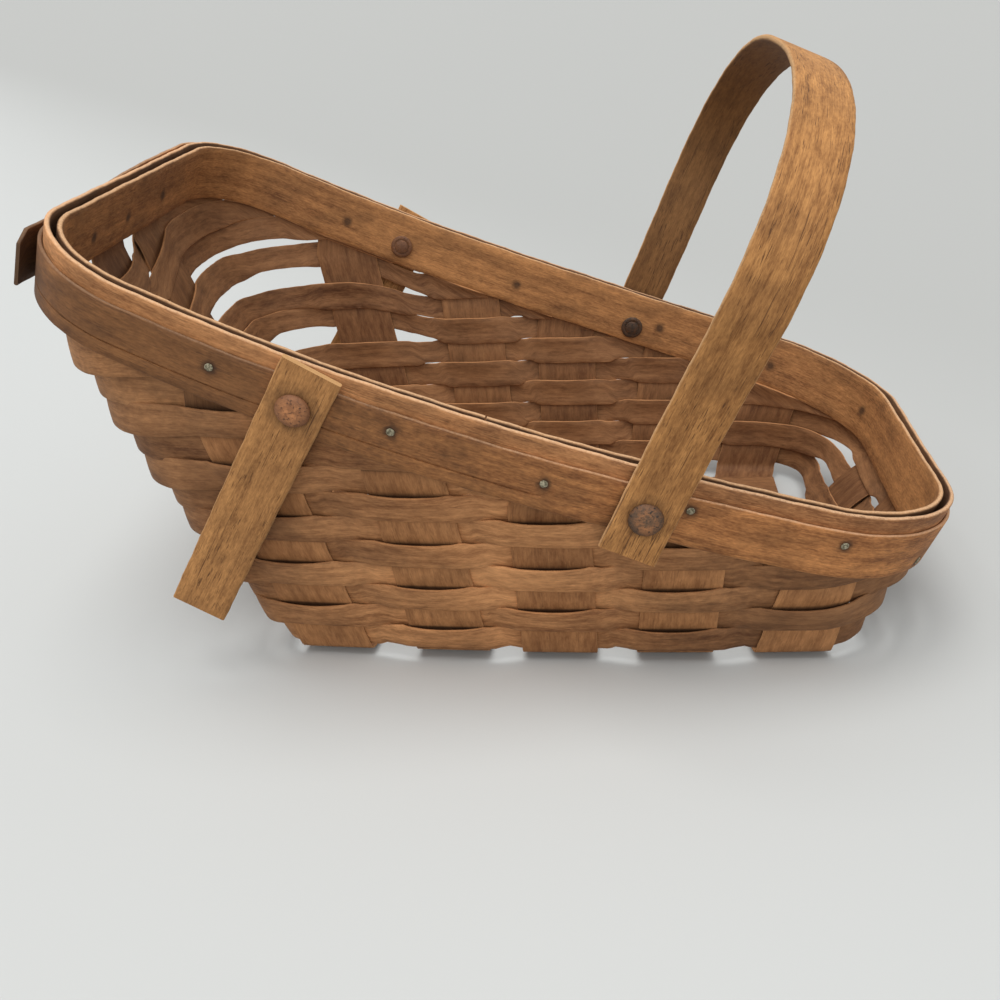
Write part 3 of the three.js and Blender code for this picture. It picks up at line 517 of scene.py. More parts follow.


# Wood of a light and a dark tone, with the colour of its pores and of its raw cut edges. Each stain
# or painted shade is a middle, a reach and a strength, and darkening is how far the darkened parts of
# the strips go towards the dark colour of rust, dirt and painted shade.
def wood_finish(name, light, dark, pore, raw, stains_and_shades=(), darkening=0.0, **amounts):
    # The dark colour of rust, dirt and painted shade
    dirt_and_shade = colour(52, 33, 22)
    finish, tree, shader = new_finish(name)
    shader.inputs["Specular IOR Level"].default_value = 0.35
    place = put_node(tree, "TexCoord").outputs["Object"]
    grain, cut, darkened = (put_node(tree, "Attribute", attribute_name=attribute)
                        for attribute in ("grain", "cut", "darkened"))
    wood = put_node(tree, "Group", [
        ("Grain", grain.outputs["Vector"]), ("Place", place), ("Cut", cut.outputs["Fac"]),
        ("Light", colour(*light)), ("Dark", colour(*dark)), ("Pore", colour(*pore)),
        ("Raw", colour(*raw)), *amounts.items()],
        node_tree=grain_tree).outputs
    shown = wood["Color"]
    # Stains round nails and rivets, and painted shade where a part lies out of the light
    for middle, reach, strength in stains_and_shades:
        shown = mix_of(product_of(stain_and_shade_of(place, middle, reach), strength), shown, dirt_and_shade)
    # The darkened parts go towards the dark colour: painted shade and dirt in crevices under weavers,
    # and each strip's back by half
    shown = mix_of(product_of(darkened.outputs["Fac"], darkening), shown, dirt_and_shade)
    tree.links.new(shown, shader.inputs["Base Color"])
    tree.links.new(wood["Roughness"], shader.inputs["Roughness"])
    show_relief(tree, shader, wood["Height"], 0.45, 0.0003)
    return finish


def seat_piece(piece, finish, body, slot, *nodes):
    piece.data.materials.append(finish)
    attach(piece, body)
    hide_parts(*nodes)


stake_finish = wood_finish(
    "stake_wood", (206, 148, 97), (126, 79, 45), (70, 43, 25), (196, 146, 100), darkening=0.85,
    Fibre=0.32, Figure=0.4, Mottle=0.8, Grit=0.25, Pores=0.3, Grime=0.35, Sheen=0.45)
stake_columns = np.linspace(-splint_width / 2, splint_width / 2, 9)
stake_step = 0.9
stake_start = 1.5
# Where painted shade and dirt begin and grow full on a stake, by how far it bows in
dirt_and_shade_from, dirt_and_shade_span = 0.25, 0.3


# Places across a strip at one level, walked out both ways from its middle in even steps
def places_across(place_at, middle, facing):
    step = (stake_columns[1] - stake_columns[0]) * facing
    first = last = middle
    places = [place_at(middle)]
    for _ in range(len(stake_columns) // 2):
        first = walk_round(place_at, first, -step, 5)
        last = walk_round(place_at, last, step, 5)
        places = [place_at(first), *places, place_at(last)]
    return np.array(places)


# From a stake's raw top down to just above the floor's bend, and how far each level is darkened with
# painted shade and dirt because a weaver lies over it
def climbing_sections(stake, facing):
    start = wall_line(stake.head)[1][2] - stake_start
    below = np.linspace(splint_top_below_rim, wall_top_below_rim - stake_start, 9)
    sections = [places_across(lambda lap: rim_place(lap, wall_half, b), stake.head, facing)
                for b in below]
    hidden = [0.0] * len(sections)
    levels = max(8, int((start - base_bend) / stake_step))
    for i in range(levels + 1):
        height = blend(start, base_bend, i / levels)
        middle, bow = stake_lap(stake, height), stake_bow(stake, height)
        places = places_across(lambda lap: wall_place(lap, height), middle, facing)
        sections.append(places + wall_facing(middle, height)[0] * bow)
        # Painted shade and dirt: darker where the stake bows in behind a weaver that passes in front
        hidden.append(ease((dirt_and_shade_from - bow / splint_bow) / dirt_and_shade_span))
    return sections, hidden


def bend_sections(wall, floor):
    corner = blend(wall, floor, 0.15)
    corner[:, 2] = floor[:, 2]
    shares = [t / 8 for t in range(1, 8)]
    return [wall * (1 - t) ** 2 + corner * 2 * t * (1 - t) + floor * t * t for t in shares]


def floor_section(x, y, height, across):
    middle = np.array((x + footprint_shift, y, height))
    return np.array([middle + np.array(across) * a for a in stake_columns])


# One strip goes down a wall from its raw top, along the floor and up the wall across from it
def lay_stake(name, node, first, floor, last, lane):
    (first_wall, first_dirt_and_shade), (last_wall, last_dirt_and_shade) = first, last
    flat = [*bend_sections(first_wall[-1], floor[0]), *floor,
            *bend_sections(last_wall[-1], floor[-1])[::-1]]
    stake = lay_strip(name, [*first_wall, *flat, *last_wall[::-1]], splint_thickness, lane,
                      dirt_and_shade=[*first_dirt_and_shade, *[0] * len(flat), *last_dirt_and_shade[::-1]])
    seat_piece(stake, stake_finish, "basket", "upright_splint", node)


floor_edge = base_width / 2 - base_bend
for i, place in enumerate(cross_places):
    floor = [floor_section(place, y, floor_middle, (1, 0, 0))
             for y in np.linspace(-floor_edge, floor_edge, 30)]
    lay_stake(f"cross_stake_{i + 1}", f"cross_splint_{i + 1}",
              climbing_sections(stakes["near", i], 1), floor,
              climbing_sections(stakes["far", i], -1), 20 + i)

# Long splints: two strips of the same stock that run the length of the floor, over and under the cross
# splints, and climb both ends. Two short fillers close the floor beside them.
long_place = 17
long_rim_place = 18
filler_place = 48.5
floor_step = splint_thickness + 0.4
crossing_reach = splint_width / 2 + 0.9
end_half_base = base_width / 2 - base_corner
end_half_low = rim_half_width(0) - rim_low_corner
end_half_high = rim_half_width(0) - rim_high_corner
fan_low = long_rim_place * rim_half_width(0) / rim_half_width(rim_length / 2)
fan_high = long_rim_place * rim_half_width(0) / rim_half_width(-rim_length / 2)


def end_share(offset, half):
    return (offset + half) / (2 * half)


# The floor's weave: over one cross splint and under the next
def floor_level(x, order):
    levels = [floor_middle + (-1) ** (k + order) * floor_step for k in range(len(cross_places))]
    k = sum(x > place for place in cross_places[1:-1])
    start, end = cross_places[k] + crossing_reach, cross_places[k + 1] - crossing_reach
    return blend(levels[k], levels[k + 1], ease((x - start) / (end - start)))


def floor_run(order, y):
    first, last = base_high_end + base_bend, base_low_end - base_bend
    return [floor_section(x, y, floor_level(x, order), (0, -1, 0))
            for x in np.linspace(first, last, 90)]


for i, side in enumerate((-1, 1)):
    foot = end_share(side * long_place, end_half_base)
    stakes["low", i] = Stake(2 + foot, 2 + end_share(side * fan_low, end_half_low), 5 + i)
    stakes["high", i] = Stake(7 - foot, 7 - end_share(side * fan_high, end_half_high), 13 - i)
    lay_stake(f"long_stake_{i + 1}", f"long_splint_{i + 1}",
              climbing_sections(stakes["high", i], 1), floor_run(i, side * long_place),
              climbing_sections(stakes["low", i], -1), 30 + i)
    filler = lay_strip(f"floor_filler_{i + 1}", floor_run(i + 1, side * filler_place),
                       splint_thickness, 33 + i)
    seat_piece(filler, stake_finish, "basket", "upright_splint", f"floor_filler_splint_{i + 1}")

# Weavers: twelve rows of narrow splint, 8.5 mm wide, that pass in front of one stake and behind the
# next. The upper rows run out behind the sloping rim, and all bow outward where they cross a stake.
weaver_thickness = 0.8
weaver_widest = 10.1
weaver_hold = 0.88
weaver_bow = 0.34
weaver_lift = 1.8
weaver_crown = 0.3
weaver_swell = 0.6
weaver_droop = 1.0
weaver_lowest = 2.6
weaver_top_below_rim = 20.4
stake_reach = splint_width / 2 + 0.5
corner_span = 30
corner_tilt = 2.0
weaver_step = 1.7
narrowest = 0.5
row_start = 2.5
tilt_from, tilt_span = -40, 60

# Painted shade: the weave is darker towards the two near corners, where less light falls
painted_corner_shades = [(wall_place(7.7, 66), 75, 0.45), (wall_place(1.3, 8), 85, 0.55)]
weave_finish = wood_finish(
    "weaver_wood", (244, 178, 120), (132, 83, 47), (70, 43, 25), (188, 134, 88), painted_corner_shades,
    darkening=1.05, Fibre=0.4, Figure=0.6, Mottle=0.7, Grit=0.25, Pores=0.25, Grime=0.35, Sheen=0.5)


# How far a weaver stands out from the wall's middle, from the runs at which it meets a stake and the
# side on which it passes. With it come how open the place is and how far the weaver's top is lifted.
def weaver_offset(run, stops, length):
    for k, (at, side) in enumerate(stops):
        gap = (run - at + length / 2) % length - length / 2
        if abs(gap) <= stake_reach:
            bulge = math.cos(math.pi * gap / 2 / stake_reach)
            return side * (weaver_hold + weaver_bow * bulge), 0, side * bulge ** 0.6
    k = max((k for k, stop in enumerate(stops) if stop[0] <= run), default=len(stops) - 1)
    at, side = stops[k]
    after, other = stops[(k + 1) % len(stops)]
    start = at + stake_reach
    span = (after - at) % length - 2 * stake_reach
    t = ((run - start) % length) / span
    slope = -math.pi * weaver_bow / 2 / stake_reach * span
    pull = slope * (side * t * (1 - t) ** 2 + other * t * t * (t - 1))
    hold = blend(side, other, ease(t)) * weaver_hold
    return hold + pull, math.sin(math.pi * t) if span > corner_span else 0, 0


# A row's sections once round the basket, and whether it closes or runs out under the rim. It swells
# where it crosses a stake, and droops where it passes behind one.
def weaver_sections(row):
    laps = np.linspace(row_start, row_start + 8, 961)
    runs = runs_along(np.array([wall_place(lap, row_height(row, lap)) for lap in laps]))
    length = float(runs[-1])
    stops = []
    for stake in stakes.values():
        lap = stake_lap(stake, row_height(row, stake.head) + weaver_width / 2)
        lap = (lap - row_start) % 8 + row_start
        side = -1 if (row + stake.order) % 2 else 1
        stops.append((float(np.interp(lap, laps, runs)), side))
    stops.sort()
    count = int(length / weaver_step)
    sections = []
    for k in range(count):
        run = length * k / count
        lap = float(np.interp(run, runs, laps))
        low = row_height(row, lap) + 0.12 * ripple(run, row, 17)
        out, stretch = wall_facing(lap, low + weaver_width / 2)
        limit = rim_place(lap, wall_half, weaver_top_below_rim)[2]
        pitch = (row_height(row + 1, lap) - row_height(row, lap)) * stretch
        width = min(pitch, weaver_widest)
        offset, openness, lift = weaver_offset(run, stops, length)
        swell = weaver_swell * ease((abs(offset) - 0.45) / 0.4)
        high = low + (width + swell + 0.1 * ripple(run, row + 3, 11)) / stretch
        high = min(high, limit)
        droop = weaver_droop * ease((-offset - 0.3) / 0.4)
        low = max(low - (swell + droop) / stretch, weaver_lowest)
        if (high - low) * stretch < narrowest + swell:
            sections.append(None)
            continue
        tilt = openness * corner_tilt * (1 - ease((wall_place(lap, low)[1] - tilt_from) / tilt_span))
        sections.append([
            wall_place(lap, blend(low, high, t)) + out * (
                offset + tilt * (1 - 2 * t) + lift * weaver_lift * t ** 1.6
                + weaver_crown * (1 - (2 * t - 1) ** 2))
            for t in (0, 0.17, 0.33, 0.5, 0.67, 0.83, 1)])
    if None not in sections:
        return sections, True
    start = sections.index(None)
    turned = sections[start:] + sections[:start]
    return [s for s in turned if s is not None], False


for row in range(1, row_count + 1):
    sections, closed = weaver_sections(row)
    weaver = lay_strip(f"weaver_{row:02d}", sections, weaver_thickness, row, closed, rounding=0.25)
    seat_piece(weaver, weave_finish, "basket", "weaver_splint", f"weaver_row_{row:02d}")

# Rim bands: two bent strips of thicker wood, one inside and one outside the stakes, with a dark gap
# between their backs. Their sawn top edges are worn pale and stay a little uneven.
inner_band_width = 21
outer_band_width = 19.5
band_step = 2.2
band_seam = 0.5

# Where the tacks are: how far round the lap, and how far below the rim's top edge
tack_places = [(0.136, 12.0), (0.386, 11.7), (0.602, 13.5), (0.804, 9.9), (1.086, 10.5),
               (1.594, 19.6), (3.2, 11), (3.9, 12), (4.2, 11), (4.5, 12.5), (4.86, 11.5),
               (6.29, 11.5), (6.58, 12.5), (6.83, 13)]


def band_laps(start, end, below):
    lap = start
    laps = []
    while lap < end:
        laps.append(lap)
        lap = walk_round(lambda l: rim_place(l, wall_half, below), lap, band_step, 1)
    return laps + [end]


# A band from one lap to another, between its top and bottom below the rim's edge. Its inset and how
# far it climbs may change on the way.
def band_sections(start, end, inset_at, top, bottom, lane, climb_at=lambda lap: 0):
    sections = []
    for n, lap in enumerate(band_laps(start, end, (top + bottom) / 2)):
        upper = top + 0.16 * ripple(n * band_step, lane, 19) - climb_at(lap)
        lower = bottom + 0.22 * ripple(n * band_step, lane + 2, 23) - climb_at(lap)
        sections.append([rim_place(lap, inset_at(lap), blend(upper, lower, t))
                         for t in (0, 0.25, 0.5, 0.75, 1)])
    return sections


def tack_stains(inset, reach, strength):
    return [(rim_place(lap, inset, below), reach, strength) for lap, below in tack_places]


band_tones = dict(Fibre=0.6, Figure=0.7, Mottle=0.7, Grit=0.6, Pores=0.4, Grime=0.45, Sheen=0.5)
inner_band_finish = wood_finish(
    "inner_band_wood", (206, 147, 91), (122, 78, 44), (60, 37, 20), (226, 184, 142),
    tack_stains(2 * wall_half, 2.5, 0.8), darkening=1.5, **band_tones)
outer_band_finish = wood_finish(
    "outer_band_wood", (226, 163, 108), (142, 92, 55), (60, 37, 22), (230, 188, 148),
    darkening=1.5, **band_tones)
half_seam = band_seam / 2 / (rim_last - rim_first)
for name, node, inset, top, bottom, seam, lane, finish in (
        ("inner_band", "inner_rim_band", wall_half * 2 - band_thickness / 2, 0, inner_band_width,
         0.5, 40, inner_band_finish),
        ("outer_band", "outer_rim_band", band_thickness / 2, outer_band_width, 0, 2.5, 41,
         outer_band_finish)):
    sections = band_sections(seam + half_seam, seam + 8 - half_seam,
                             lambda lap, inset=inset: inset, top, bottom, lane)
    band = lay_strip(name, sections, band_thickness, lane, rounding=0.4, fray=0.14)
    seat_piece(band, finish, "basket", "rim_band", node)

# Outermost band: a thinner strip tacked on lower down. It laps over its own start at the high end, and
# its loose tail runs straight on past the corner. A long split has opened along its lower part.
wrap_thickness = 1.2
wrap_top = 5.6
wrap_bottom = 22.9
wrap_clearance = 0.3
wrap_inset = -(wrap_clearance + wrap_thickness / 2)
wrap_lap_start = 34
wrap_lap_climb = 4.1
wrap_lap_from, wrap_lap_span = 13.2, 0.6
wrap_tail_from, wrap_tail_span = 14.3, 0.68
wrap_tail_reach = 70
wrap_tail_splay = 0.06
wrap_tail_parts = 32
tail_bevel = 3.9
split_line = 12.4
split_half = 0.2
split_end_lap = 8.62
split_left_in = 0.05


def wrap_inset_at(lap):
    return wrap_inset - (wrap_thickness + wrap_clearance) * ease((lap - wrap_lap_from) / wrap_lap_span)


def wrap_climb_at(lap):
    climbed = wrap_lap_climb * ease((lap - wrap_lap_from) / wrap_lap_span)
    return climbed * (1 - ease((lap - wrap_tail_from) / wrap_tail_span))


wrap_start = 6 + end_share(-wrap_lap_start, end_half_high)
sections = band_sections(wrap_start, wrap_tail_from + wrap_tail_span, wrap_inset_at, wrap_top,
                         wrap_bottom, 42, wrap_climb_at)
last = np.array(sections[-1])
reach = max(1, wrap_tail_reach + last[-1][1])
down = unit(last[-1] - last[0])
for k in range(1, wrap_tail_parts + 1):
    share = k / wrap_tail_parts
    tail = last + np.array((-wrap_tail_splay, -1, 0)) * reach * share
    trim = max(0, tail_bevel - reach * (1 - share))
    sections.append(tail + down * np.linspace(trim, 0, 5)[:, None])
split_run = band_step * (len(band_laps(wrap_start, split_end_lap, 14)) - 1)


# The split is a slot pressed almost through the band
def split_press(run, distance):
    open_here = (run < split_run) & (np.abs(distance - split_line) < split_half)
    return np.where(open_here, split_left_in, 1.0)


# Rust round the tacks, and painted shade: a dark end on the loose tail, and the band darker over a
# long reach round the high end's near corner
wrap_stains_and_shades = [*tack_stains(wrap_inset, 3.6, 0.35), *tack_stains(wrap_inset, 2.4, 1.0),
               (sections[-1][2], 16, 0.55), (rim_place(7.9, wrap_inset, 14), 160, 0.62)]
wrap_finish = wood_finish("wrap_band_wood", (236, 165, 102), (142, 89, 50), (54, 33, 20),
                          (222, 180, 142), wrap_stains_and_shades, **band_tones)
wrap = lay_strip("wrap_band", sections, wrap_thickness, 42, rounding=0.3, fray=0.12,
                 lines=[split_line + split_half * k for k in (-2, -0.9, 0.9, 2)],
                 press=split_press)
seat_piece(wrap, wrap_finish, "basket", "rim_band", "wrap_rim_band")

# Tacks: small steel nails with low domed heads, gone grey, in stained wood. They hold the outermost
# band, and are low enough for the legs to pass over them.
tack_radius = 1.25
tack_height = 0.5
tack_pin = [(0, -1.2), (0.55, -1.1), (0.6, -0.1), (tack_radius * 0.96, 0.02), (tack_radius, 0.18)]
tack_dome = [(0.9, 0.55), (0.66, 0.82), (0.34, 0.97), (0, 1)]


# Old metal: worn bright in patches, pitted, and dark outside the middles of two heads, each given
# with its reach
def metal_finish(name, worn, deep, dark, metallic, scale, heads=()):
    finish, tree, shader = new_finish(name)
    place = put_node(tree, "TexCoord").outputs["Object"]
    patches = stretched_noise(place, (scale,) * 3, 5.0, 0.65)
    pits = stretched_noise(place, (scale * 3,) * 3, 3.0, 0.6)
    worn_share = rise_of(patches, 0.42, 0.62)
    shown = mix_of(worn_share, colour(*deep), colour(*worn))
    shown = mix_of(rise_of(pits, 0.55, 0.68), shown, colour(*dark))
    if heads:
        middles = larger_of(*(stain_and_shade_of(place, *head) for head in heads))
        shown = mix_of(rise_of(middles, 0, 1, 0.75, 0), shown, colour(*dark))
    tree.links.new(shown, shader.inputs["Base Color"])
    tree.links.new(rise_of(patches, 0.3, 0.7, 0.7, 0.5), shader.inputs["Roughness"])
    tree.links.new(product_of(worn_share, metallic), shader.inputs["Metallic"])
    show_relief(tree, shader, pits, 0.6, 0.0004)
    return finish


# A round piece turned about an axis, from a profile of radius and height that may end on the axis
def turned_piece(name, profile, place, axis, closed=False, segments=36, wobble=0.0, lane=0):
    first = unit(np.cross(axis, (0.3, 0.1, 1)))
    second = np.cross(axis, first)
    places, rings = [], []
    for radius, height in profile:
        if radius < 1e-6:
            rings.append([len(places)] * segments)
            places.append(place + axis * height)
            continue
        rings.append(list(range(len(places), len(places) + segments)))
        for k in range(segments):
            angle = 2 * math.pi * k / segments
            r = radius * (1 + wobble * ripple(angle * 2, lane, 1))
            places.append(place + axis * height
                          + first * r * math.cos(angle) + second * r * math.sin(angle))
    faces = []
    for a, b in zip(rings, rings[1:] + (rings[:1] if closed else [])):
        for k in range(segments):
            m = (k + 1) % segments
            face = list(dict.fromkeys((a[k], a[m], b[m], b[k])))
            if len(face) > 2:
                faces.append(tuple(face))
    corners = sum(len(f) for f in faces)
    return finish_mesh(name, np.array(places), faces, [(0, 0, lane)] * corners, [0] * corners,
                       [0] * corners)


# Which way the rim faces, straight out from a point of it
def rim_facing(lap, inset, below):
    around = rim_place(lap + 0.01, inset, below) - rim_place(lap - 0.01, inset, below)
    down = rim_place(lap, inset, below + 1) - rim_place(lap, inset, below - 1)
    return unit(np.cross(down, around))


tack_finish = metal_finish(
    "old_tack_steel", (202, 194, 166), (112, 106, 84), (38, 34, 27), 0.25, 1400)
tack_profile = [*tack_pin, *((tack_radius * r, tack_height * h) for r, h in tack_dome)]
wrap_face = -(wrap_clearance + wrap_thickness)
for n, (lap, below) in enumerate(tack_places):
    tack = turned_piece(f"tack_{n + 1:02d}", tack_profile, rim_place(lap, wrap_face, below),
                        rim_facing(lap, wrap_face, below), segments=20, wobble=0.03, lane=n)
    tack.data.materials.append(tack_finish)
    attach(tack, "basket")

# Legs: two flat strips of lighter, open-pored wood that turn on copper rivets outside the rim. They
# swing down past the base to prop the basket on a slope, and turn up out of the way.
pivot_below_rim = 14
leg_pivot_along = -60.4
leg_lean = math.radians(10.7)
leg_below = 88
leg_above = 14.2
strip_width = 18.3
strip_thickness = 1.9
hole_radius = 2.5
hole_reach = 9
seat_gap = 0.3


# A rivet's place on the outermost band's face, and which way it points
def pivot_place(along, side):
    lap = rim_share(along) if side < 0 else 5 - rim_share(along)
    return rim_place(lap, wrap_face, pivot_below_rim), rim_facing(lap, wrap_face, pivot_below_rim)


def turn_about_y(v, angle):
    c, s = math.cos(angle), math.sin(angle)
    return np.array((v[0] * c + v[2] * s, v[1], v[2] * c - v[0] * s))


# Drills a round hole through a strip, along an axis through a place
def drill(piece, place, axis):
    profile = [(0, -hole_reach), (hole_radius, -hole_reach), (hole_radius, hole_reach),
               (0, hole_reach)]
    bit = turned_piece("bit", profile, place, axis, segments=28)
    bore = piece.modifiers.new("bore", "BOOLEAN")
    bore.operation = "DIFFERENCE"
    bore.object = bit
    bore.solver = "EXACT"
    bored = bpy.data.meshes.new_from_object(
        piece.evaluated_get(bpy.context.evaluated_depsgraph_get()))
    piece.modifiers.clear()
    old = piece.data
    piece.data = bored
    bored.name = old.name
    bpy.data.meshes.remove(old)
    bpy.data.objects.remove(bit)


leg_places = [pivot_place(leg_pivot_along, side) for side in (-1, 1)]
strip_tones = dict(Fibre=0.6, Figure=0.6, Mottle=0.8, Grit=0.5, Pores=0.8, Cracks=0.75,
                   Grime=0.3, Sheen=0.45)
for n, (name, node) in enumerate((("leg_near", "near_leg"), ("leg_far", "far_leg"))):
    place, out = leg_places[n]
    down = turn_about_y(-above_rim, leg_lean)
    down = unit(down - out * down.dot(out))
    across = np.cross(down, out)
    middle = place + out * (seat_gap + strip_thickness / 2)
    sections = [[middle + down * at + across * strip_width * t for t in (-0.5, 0, 0.5)]
                for at in np.linspace(-leg_above, leg_below, 52)]
    leg = lay_strip(name, sections, strip_thickness, 50 + n, rounding=0.45, fray=0.12)
    drill(leg, place, out)
    finish = wood_finish(f"{name}_wood", (220, 161, 100), (136, 91, 51), (80, 48, 25),
                         (208, 164, 112), [(place, 8.5, 0.75)], **strip_tones)
    seat_piece(leg, finish, node, "strip_wood", node)

# Swing handle: one long strip steamed and bent into a hoop, lighter than the rim, with square feet
# that hang on rivets outside the bands. Washers keep it clear of the flared rim.
hoop_pivot_along = 46.2
hoop_lean = math.radians(2.7)
hoop_height = 127
hoop_shoulder = 66
hoop_roundness = 2.5
hoop_foot = 14
hoop_straight = hoop_foot * 0.7
hoop_flare = 5
flare_parts = 20
crown_parts = 120
washer_thickness = 1.2
washer_radius = 5.5

hoop_places = [(pivot_place(hoop_pivot_along, side)[0], np.array((0.0, side, 0.0)))
               for side in (-1, 1)]
hoop_tilt = math.tan(math.acos(pivot_place(hoop_pivot_along, 1)[1][1]))
washer_face = seat_gap + washer_radius * hoop_tilt
hoop_face = washer_face + washer_thickness + seat_gap


# The hoop from foot to foot: straight over the rivets, flaring to the shoulders, with a round crown
def hoop_line(foot_half):
    line = [(foot_half, -hoop_foot), (foot_half, hoop_straight)]
    for k in range(1, flare_parts + 1):
        t = k / flare_parts
        line.append((foot_half + hoop_flare * t * t * (1.6 - 0.6 * t),
                     blend(hoop_straight, hoop_shoulder, t)))
    for k in range(1, crown_parts + 1):
        angle = math.pi / 2 * k / crown_parts
        across = (foot_half + hoop_flare) * max(0, math.cos(angle)) ** (2 / hoop_roundness)
        over = (hoop_height - hoop_shoulder) * math.sin(angle) ** (2 / hoop_roundness)
        line.append((0 if k == crown_parts else across, hoop_shoulder + over))
    line += [(-across, height) for across, height in line[-2::-1]]
    line = np.array(line)
    runs = runs_along(line)
    even = np.linspace(0, runs[-1], int(runs[-1] / 2))
    return np.stack([np.interp(even, runs, line[:, k]) for k in (0, 1)], 1)


foot_half = hoop_places[1][0][1] + hoop_face + strip_thickness / 2
pivot = hoop_places[1][0] * (1, 0, 1)
rise = turn_about_y(above_rim, hoop_lean)
across = unit(np.cross((0, 1, 0), rise))
sections = [[pivot + rise * height + np.array((0, y, 0)) + across * strip_width * t
             for t in (-0.5, 0, 0.5)] for y, height in hoop_line(foot_half)]
hoop = lay_strip("swing_hoop", sections, strip_thickness, 60, rounding=0.45, fray=0.12)
for place, out in hoop_places:
    drill(hoop, place, out)
hoop_finish = wood_finish(
    "hoop_wood", (220, 160, 96), (134, 88, 46), (80, 48, 25), (222, 180, 132),
    [(place, 8.5, 0.85) for place, out in hoop_places], darkening=1.2, **strip_tones)
seat_piece(hoop, hoop_finish, "handle", "strip_wood", "swing_handle")

# Rivets: copper pins with broad hammered heads outside, closed over small burr rings inside the rim.
# The hoop's rivets also hold a washer between each of its feet and the band.
pin_radius = 2.2
head_radius = 5.3
head_height = 2.2
head_curve = [(0.97, 0), (1, 0.15), (0.98, 0.3), (0.9, 0.58), (0.74, 0.8), (0.5, 0.93),
              (0.25, 0.99), (0, 1)]
head_reach = 5.2
tip_height = 0.8
burr_radius = 4.6
burr_thickness = 1.0
ring_lip = 0.25
head_middle = strip_thickness + seat_gap + head_height / 2
leg_heads = [(place + out * (seat_gap + head_middle), head_reach) for place, out in leg_places]
hoop_heads = [(place + out * (hoop_face + head_middle), head_reach) for place, out in hoop_places]
leg_copper = metal_finish(
    "browned_copper", (212, 146, 96), (164, 110, 72), (84, 54, 36), 0.3, 420, leg_heads)
hoop_copper = metal_finish(
    "dirty_copper", (186, 128, 84), (108, 80, 58), (40, 33, 28), 0.35, 420, hoop_heads)
burr_seat = wrap_face - 2 * wall_half - seat_gap
hoop_burr_seat = burr_seat - burr_radius * hoop_tilt
for n, (name, (place, out), face, seat) in enumerate((
        ("near_leg", leg_places[0], seat_gap, burr_seat),
        ("far_leg", leg_places[1], seat_gap, burr_seat),
        ("near_handle", hoop_places[0], hoop_face, hoop_burr_seat),
        ("far_handle", hoop_places[1], hoop_face, hoop_burr_seat))):
    head = face + strip_thickness + seat_gap
    tip = seat - burr_thickness - seat_gap
    profile = [(0, tip - tip_height), (pin_radius * 0.8, tip - tip_height * 0.85),
               (pin_radius * 1.25, tip - tip_height * 0.4), (pin_radius * 1.3, tip),
               (pin_radius, tip), (pin_radius, head),
               *((head_radius * r, head + head_height * h) for r, h in head_curve)]
    rivet = turned_piece(f"rivet_{name}", profile, place, out, segments=48, wobble=0.012, lane=n)
    copper = leg_copper if name.endswith("leg") else hoop_copper
    seat_piece(rivet, copper, "basket", "rivet_metal", f"{name}_rivet")
    rings = [("burr", f"{name}_rivet_burr", burr_radius, seat - burr_thickness, seat)]
    if name.endswith("handle"):
        rings.append(("washer", f"{name}_washer", washer_radius, washer_face,
                      washer_face + washer_thickness))
    for kind, node, radius, low, high in rings:
        inner, outer = hole_radius + ring_lip, radius - ring_lip
        profile = [(hole_radius, low + ring_lip), (inner, low), (outer, low),
                   (radius, low + ring_lip), (radius, high - ring_lip), (outer, high),
                   (inner, high), (hole_radius, high - ring_lip)]
        ring = turned_piece(f"{kind}_{name}", profile, place, out, closed=True)
        seat_piece(ring, copper, "basket", "rivet_metal", node)

# Table: a plain pale top in an even room, with painted shade that darkens it towards the far right,
# under a broad soft lamp and a weaker one in front. Other surfaces see a darker top than the camera
# does, so that little light comes back up from it.
table_reach = 14
table_depth = -0.0002
pale = colour(200, 203, 203)
dusk = colour(177, 179, 178)
shade = colour(128, 127, 124)
dusk_lean = 1.3
dusk_start, dusk_end = -0.2, 0.65
room_level = (0.48, 0.48, 0.48, 1)
sky = colour(212, 213, 212)
table_mesh = bpy.data.meshes.new("table")
table_mesh.from_pydata([(x * table_reach, y * table_reach, table_depth)
                        for x, y in ((-1, -1), (1, -1), (1, 1), (-1, 1))], [], [(0, 1, 2, 3)])
table = put_in_scene("table", table_mesh)
table_finish, table_tree, table_shader = new_finish("table_white")


# What the camera sees, straight on, in a reflection or through something clear
def seen_directly(tree):
    path = put_node(tree, "LightPath").outputs
    seen = larger_of(path["Is Camera Ray"], path["Is Glossy Ray"])
    return larger_of(seen, path["Is Transmission Ray"])


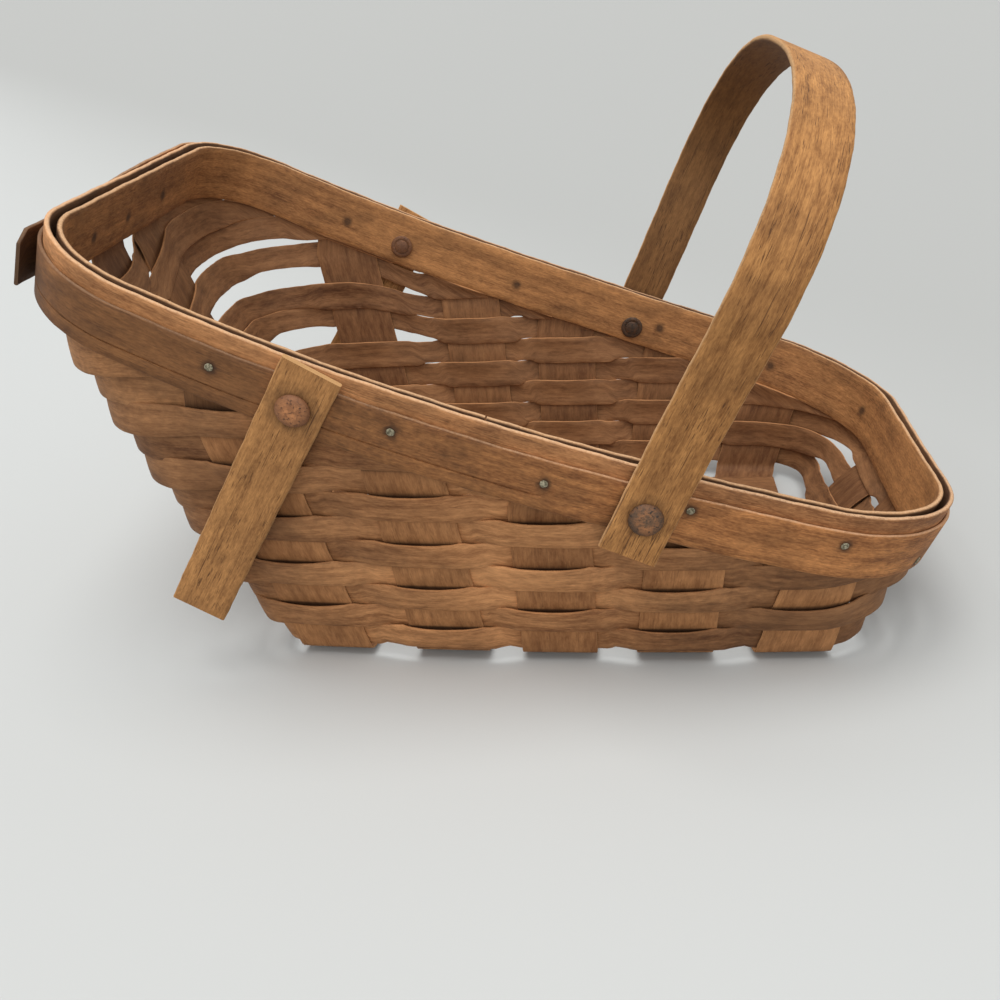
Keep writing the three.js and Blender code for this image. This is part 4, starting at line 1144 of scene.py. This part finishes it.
table_place = put_node(table_tree, "TexCoord").outputs["Object"]
table_spot = put_node(table_tree, "SeparateXYZ", [(0, table_place)]).outputs
# Painted shade: the top darkens towards the far right
far_right = sum_of(table_spot["Y"], table_spot["X"], dusk_lean)
fading = put_node(table_tree, "MapRange", [(0, far_right), (1, dusk_start), (2, dusk_end)],
                  interpolation_type="SMOOTHSTEP").outputs[0]
table_top = mix_of(seen_directly(table_tree), shade, mix_of(fading, pale, dusk))
table_tree.links.new(table_top, table_shader.inputs["Base Color"])
table_shader.inputs["Roughness"].default_value = 0.8
table_mesh.materials.append(table_finish)

room = bpy.data.worlds.new("room")
bpy.context.scene.world = room
room.use_nodes = True
room_tree = room.node_tree
room_tree.links.new(mix_of(seen_directly(room_tree), room_level, sky),
                    room_tree.nodes["Background"].inputs["Color"])


def set_place(thing, right, upward, back, place):
    rows = [(right[k], upward[k], back[k], place[k]) for k in range(3)]
    thing.matrix_world = Matrix((*rows, (0, 0, 0, 1)))


def soft_lamp(name, level, spread, towards, tint):
    lamp = bpy.data.lights.new(name, "SUN")
    lamp.energy = level
    lamp.angle = math.radians(spread)
    lamp.color = tint
    towards = unit(np.array(towards))
    sideways = unit(np.cross((0, 1, 0), towards))
    set_place(put_in_scene(name, lamp), sideways, np.cross(towards, sideways), towards, (0, 0, 1))


soft_lamp("ceiling_lamp", 2.2, 50, (-0.12, -0.1, 0.98), (1.0, 0.985, 0.96))
soft_lamp("front_lamp", 0.68, 40, (0.12, -0.88, 0.42), (1.0, 0.98, 0.95))

# Camera: close above the near side, looking down at the basket with a slight roll. Its place and
# lens were fitted to the photograph.
camera_place = np.array((30.49, -368.24, 216.11)) / 1000
turn = math.radians(-6.438)
dip = math.radians(27.382)
roll = math.radians(-3.178)
sensor_width = 36
lens_pixels = 1057.8
picture_pixels = 1000
look = np.array((math.sin(turn) * math.cos(dip), math.cos(turn) * math.cos(dip), -math.sin(dip)))
level = np.array((math.cos(turn), -math.sin(turn), 0))
over = np.cross(level, look)
right = level * math.cos(roll) + over * math.sin(roll)
upward = over * math.cos(roll) - level * math.sin(roll)
camera_data = bpy.data.cameras.new("camera")
camera_data.sensor_width = sensor_width
camera_data.lens = sensor_width * lens_pixels / picture_pixels
camera_data.clip_start = 0.01
camera = put_in_scene("camera", camera_data)
set_place(camera, right, upward, -look, camera_place)
bpy.context.scene.camera = camera
bpy.context.scene.view_settings.view_transform = "Standard"
